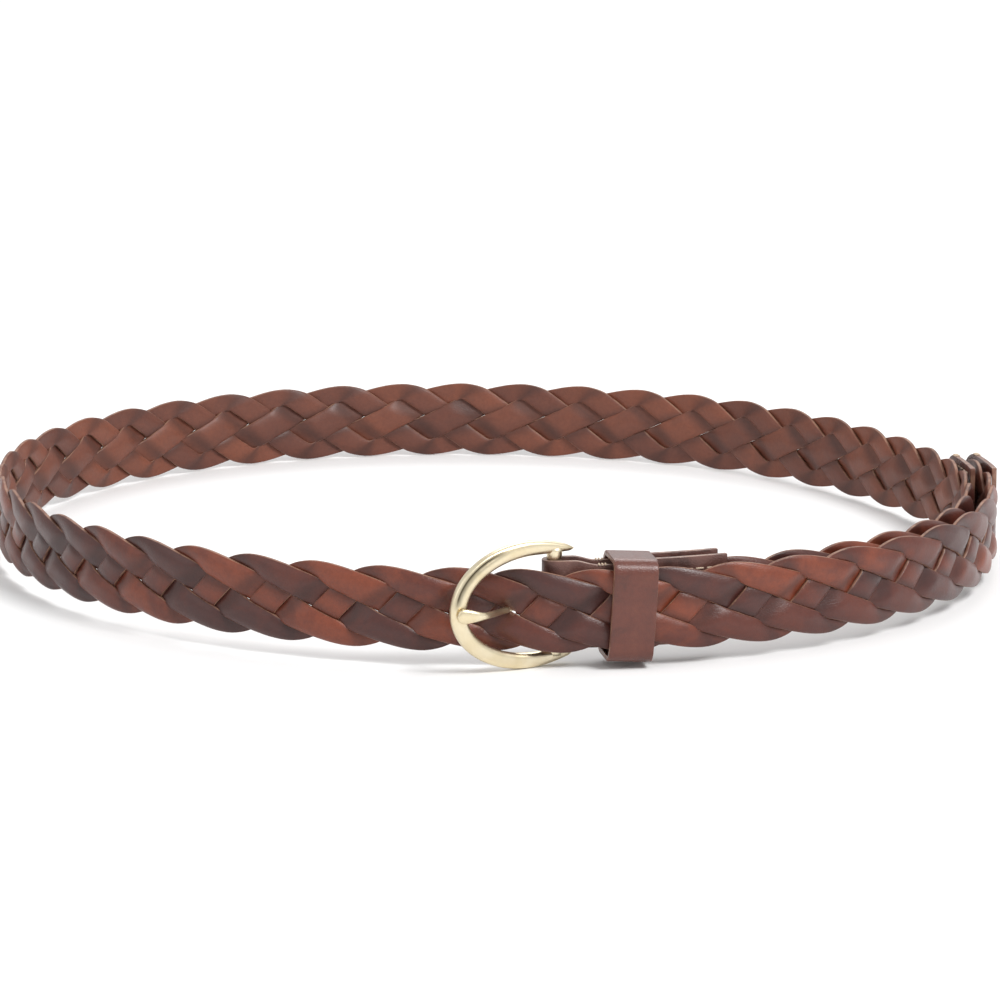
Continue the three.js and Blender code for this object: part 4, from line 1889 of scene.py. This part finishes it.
@dataclass(frozen=True)
class StripFinish(LeatherFinish):
    """The braid's leather, dyed unevenly from leaf to leaf."""

    def tone(self, nodes: Nodes, clouds: bpy.types.NodeSocket) -> bpy.types.NodeSocket:
        """How light the dye is: a tone for each leaf, with clouds on it.

        Args:
            nodes: The material's node calls.
            clouds: The uneven dye.

        Returns:
            The tone from 0 to 1.
        """
        drift = nodes.math("MULTIPLY", nodes.math("SUBTRACT", clouds, 0.5), self.cloud_tone)
        return nodes.math("ADD", nodes.attribute("tone"), drift, clamp=True)

    def turn_flesh(self, nodes: Nodes, tone: bpy.types.NodeSocket, colour: bpy.types.NodeSocket,
                   rough: bpy.types.NodeSocket) -> tuple[bpy.types.NodeSocket, bpy.types.NodeSocket]:
        """Colour and roughness with the duller, redder flesh side.

        Args:
            nodes: The material's node calls.
            tone: How light the dye is.
            colour: The dyed colour.
            rough: Its roughness.

        Returns:
            The new colour and roughness.
        """
        flesh = nodes.attribute("flesh")
        side = nodes.mix(nodes.ramp(tone, 0.0, 1.0), nodes.mix(0.45, self.flesh, self.dark), self.flesh)
        colour = nodes.mix(nodes.math("MULTIPLY", flesh, self.flesh_share), colour, side)
        return colour, nodes.scaled(flesh, self.flesh_dullness, rough)

    def shade(self, nodes: Nodes, colour: bpy.types.NodeSocket) -> bpy.types.NodeSocket:
        """Paints shade on the places that slip under other strips.

        Args:
            nodes: The material's node calls.
            colour: The colour so far.

        Returns:
            The new colour.
        """
        # Painted shade at the crossings, where a strip slips under another.
        share = nodes.math("MULTIPLY", nodes.attribute("dive_shade"), self.dive_shade_share)
        return nodes.mix(share, colour, self.shadow)

    def edge_mask(self, nodes: Nodes) -> bpy.types.NodeSocket:
        """Where the strip's cut edge shows.

        Args:
            nodes: The material's node calls.

        Returns:
            The mask from 0 to 1.
        """
        return nodes.ramp(nodes.attribute("edge"), 0.955, 0.998, 0.0, 0.8)


@dataclass(frozen=True)
class BrassFinish(Finish):
    """Satin pale gold, brushed and slightly worn."""

    colour: Colour = (0.72, 0.61, 0.40, 1.0)
    bright: Colour = (0.88, 0.80, 0.62, 1.0)
    # Colour of the painted shade in the frame's crease.
    shade: Colour = (0.04, 0.028, 0.012, 1.0)
    roughness: float = 0.27
    bump: float = 0.06
    brush_depth: float = 0.0001
    brush_scale: tuple[float, float, float] = (700.0, 700.0, 5200.0)

    def make(self, groups: EffectGroups) -> bpy.types.Material:
        """Makes the material.

        Args:
            groups: The shared effects.

        Returns:
            The material.
        """
        material, nodes = self.start()
        vector = nodes.object_space()
        patina = nodes.effect(groups.patina, vector)
        stretch = nodes.add("ShaderNodeMapping", {"Vector": vector, "Scale": self.brush_scale})
        brushed = nodes.noise(stretch.outputs["Vector"], 1.0, detail=3.0)
        colour = nodes.mix(nodes.math("MULTIPLY", patina["Clouds"], 0.6), self.colour, self.bright)
        # Painted shade along the crease.
        colour = nodes.mix(nodes.attribute("crease_and_shade"), colour, self.shade)
        rough = nodes.scaled(brushed, 0.06, nodes.scaled(patina["Flecks"], 0.08, self.roughness))
        nodes.surface({"Base Color": colour, "Roughness": rough, "Metallic": 1.0}, brushed, self.bump,
                      self.brush_depth)
        return material


@dataclass(frozen=True)
class ThreadFinish(Finish):
    """Waxed cream thread with a visible twist."""

    colour: Colour = (0.62, 0.50, 0.38, 1.0)
    shadow: Colour = (0.40, 0.29, 0.20, 1.0)
    roughness: float = 0.62
    bump: float = 0.4
    twist_depth: float = 0.0001

    def make(self) -> bpy.types.Material:
        """Makes the material.

        Returns:
            The material.
        """
        material, nodes = self.start()
        inputs = {"Vector": nodes.object_space(), "Scale": 900.0, "Distortion": 1.5}
        wave = nodes.add("ShaderNodeTexWave", inputs, wave_type="BANDS", bands_direction="DIAGONAL")
        twist = wave.outputs["Fac"]
        nodes.surface({"Base Color": nodes.mix(twist, self.shadow, self.colour), "Roughness": self.roughness},
                      twist, self.bump, self.twist_depth)
        return material


@dataclass(frozen=True)
class PaperFinish(Finish):
    """Plain pale studio floor."""

    colour: Colour = (0.86, 0.86, 0.86, 1.0)
    roughness: float = 0.9

    def make(self) -> bpy.types.Material:
        """Makes the material.

        Returns:
            The material.
        """
        material, nodes = self.start()
        shader = nodes.add("ShaderNodeBsdfPrincipled", {"Base Color": self.colour, "Roughness": self.roughness})
        nodes.add("ShaderNodeOutputMaterial", {"Surface": shader.outputs[0]})
        return material


@dataclass(frozen=True)
class Lamp:
    """One soft square light that faces the belt, in metres and watts."""

    name: str
    place: tuple[float, float, float]
    size: float
    power: float


@dataclass(frozen=True)
class StudioSize:
    """Camera, lights and floor, in metres and degrees."""

    distance: float = 1.596
    elevation: float = 12.66
    focal_pixels: float = 5518.0
    image_pixels: float = 1000.0
    sensor: float = 36.0
    clip: tuple[float, float] = (0.05, 20.0)
    loop_centre: tuple[float, float, float] = (0.0014, 0.0016, 0.0137)
    aim_rise: float = 0.0029
    floor_half: float = 9.0
    lamps: tuple[Lamp, ...] = (
        Lamp("key_light", (0.8, -0.8, 1.2), 0.6, 20.0),
        Lamp("fill_light", (-1.1, -0.7, 0.8), 1.1, 2.5),
        Lamp("back_light", (0.1, 1.2, 1.2), 1.0, 9.0),
    )
    air_colour: tuple[float, float, float, float] = (1.0, 1.0, 1.0, 1.0)
    air_strength: float = 0.75


class Studio:
    """The floor, the soft lights and the camera."""

    def __init__(self, size: StudioSize) -> None:
        """Keeps the sizes.

        Args:
            size: The studio's sizes.
        """
        self.size = size

    @staticmethod
    def stand(name: str, data: bpy.types.ID, place: Vector, aim: Vector) -> bpy.types.Object:
        """Places a camera or light and turns it to its aim.

        Args:
            name: Name of the object.
            data: The camera or light.
            place: Where it stands.
            aim: The point that it faces.

        Returns:
            The object.
        """
        obj = bpy.data.objects.new(name, data)
        obj.location = place
        obj.rotation_euler = (aim - place).to_track_quat("-Z", "Y").to_euler()
        bpy.context.scene.collection.objects.link(obj)
        return obj

    def camera(self) -> None:
        """Places the camera at the photograph's angle."""
        size = self.size
        angle = math.radians(size.elevation)
        centre = Vector(size.loop_centre)
        place = centre + Vector((0.0, -math.cos(angle), math.sin(angle))) * size.distance
        data = bpy.data.cameras.new("photo_camera")
        data.sensor_width = size.sensor
        data.lens = size.focal_pixels * size.sensor / size.image_pixels
        data.clip_start, data.clip_end = size.clip
        aim = centre + Vector((0.0, 0.0, size.aim_rise))
        bpy.context.scene.camera = self.stand("photo_camera", data, place, aim)

    def lights(self) -> None:
        """Adds the soft lights and the pale surroundings."""
        for lamp in self.size.lamps:
            data = bpy.data.lights.new(lamp.name, "AREA")
            data.size = lamp.size
            data.energy = lamp.power
            self.stand(lamp.name, data, Vector(lamp.place), Vector((0.0, 0.0, 0.0)))
        world = bpy.data.worlds.new("studio_air")
        world.use_nodes = True
        air = world.node_tree.nodes["Background"]
        air.inputs["Color"].default_value = self.size.air_colour
        air.inputs["Strength"].default_value = self.size.air_strength
        bpy.context.scene.world = world
        bpy.context.scene.view_settings.view_transform = "Standard"

    def floor(self) -> None:
        """Adds the pale floor under the belt."""
        half = self.size.floor_half
        corners = np.array([[-half, -half, 0.0], [half, -half, 0.0], [half, half, 0.0], [-half, half, 0.0]])
        obj = MeshKit.mesh("studio_floor", corners, [(0, 1, 2, 3)])
        obj.data.materials.append(PaperFinish("studio_paper").make())

    def build(self) -> None:
        """Sets up the whole studio."""
        self.camera()
        self.lights()
        self.floor()


class Belt:
    """Builds and dresses every visible piece of the belt."""

    def __init__(self) -> None:
        """Makes the finishes."""
        groups = EffectGroups()
        self.strip = StripFinish("strip_leather_finish").make(groups)
        self.tab = LeatherFinish(
            "tab_leather_finish", dark=(0.040, 0.015, 0.012, 1.0), middle=(0.125, 0.054, 0.043, 1.0),
            bright=(0.250, 0.140, 0.115, 1.0), raw=(0.36, 0.24, 0.19, 1.0), bump=0.3,
        ).make(groups)
        self.keeper = LeatherFinish(
            "keeper_leather_finish", dark=(0.066, 0.020, 0.013, 1.0), middle=(0.112, 0.029, 0.018, 1.0),
            bright=(0.150, 0.042, 0.023, 1.0), roughness=0.32, coat=0.3, bump=0.3,
        ).make(groups)
        self.brass = BrassFinish("pale_gold_finish").make(groups)
        self.thread = ThreadFinish("thread_finish").make()

    @staticmethod
    def settle(obj: bpy.types.Object, material: bpy.types.Material, slot: Slot, *nodes: str) -> None:
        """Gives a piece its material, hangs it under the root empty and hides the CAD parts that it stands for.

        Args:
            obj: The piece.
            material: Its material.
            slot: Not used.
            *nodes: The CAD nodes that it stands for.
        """
        obj.data.materials.clear()
        obj.data.materials.append(material)
        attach(obj, "root")
        if nodes:
            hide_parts(*nodes)
        LOG.info("%s: %d faces", obj.name, len(obj.data.polygons))

    def strands(self) -> None:
        """Builds the four leather strips."""
        braid = Braid(BRAID, ROUTE)
        section = Section()
        for index in range(BRAID.strand_count):
            obj = StrandPiece(braid, index, section).build()
            self.settle(obj, self.strip, Slot.STRAND, f"strand_{index + 1}")

    def tabs(self) -> None:
        """Builds the chape and the tip with their seams."""
        chape = Chape()
        self.settle(chape.build(), self.tab, Slot.TAB, "chape")
        seams = TabSeams(chape, TAB.seam_border, TAB.chape_seam)
        self.settle(seams.build("chape_stitches"), self.thread, Slot.TAB)
        tip = TipTab()
        self.settle(tip.build(), self.keeper, Slot.TAB, "tip_tab")
        seams = TabSeams(tip, TAB.seam_border, TAB.tip_seam)
        self.settle(seams.build("tip_stitches"), self.thread, Slot.TAB)

    def loop(self) -> None:
        """Builds the keeper."""
        self.settle(KeeperLoop(KEEPER).build(), self.keeper, Slot.KEEPER, "keeper_loop")

    def buckle(self) -> None:
        """Builds the frame, its bar and the prong."""
        casting = BuckleFrame(BUCKLE)
        self.settle(casting.build(), self.brass, Slot.METAL, "buckle_frame")
        self.settle(casting.build_bar(), self.brass, Slot.METAL)
        self.settle(Prong(BUCKLE, casting).build(), self.brass, Slot.METAL, "prong")

    def build(self) -> None:
        """Builds every piece in order."""
        self.strands()
        self.tabs()
        self.loop()
        self.buckle()


def main() -> None:
    """Builds the scene in order."""
    logging.basicConfig(level=logging.INFO, format="%(name)s: %(message)s")
    Studio(StudioSize()).build()
    Belt().build()


if __name__ == "__main__":
    main()
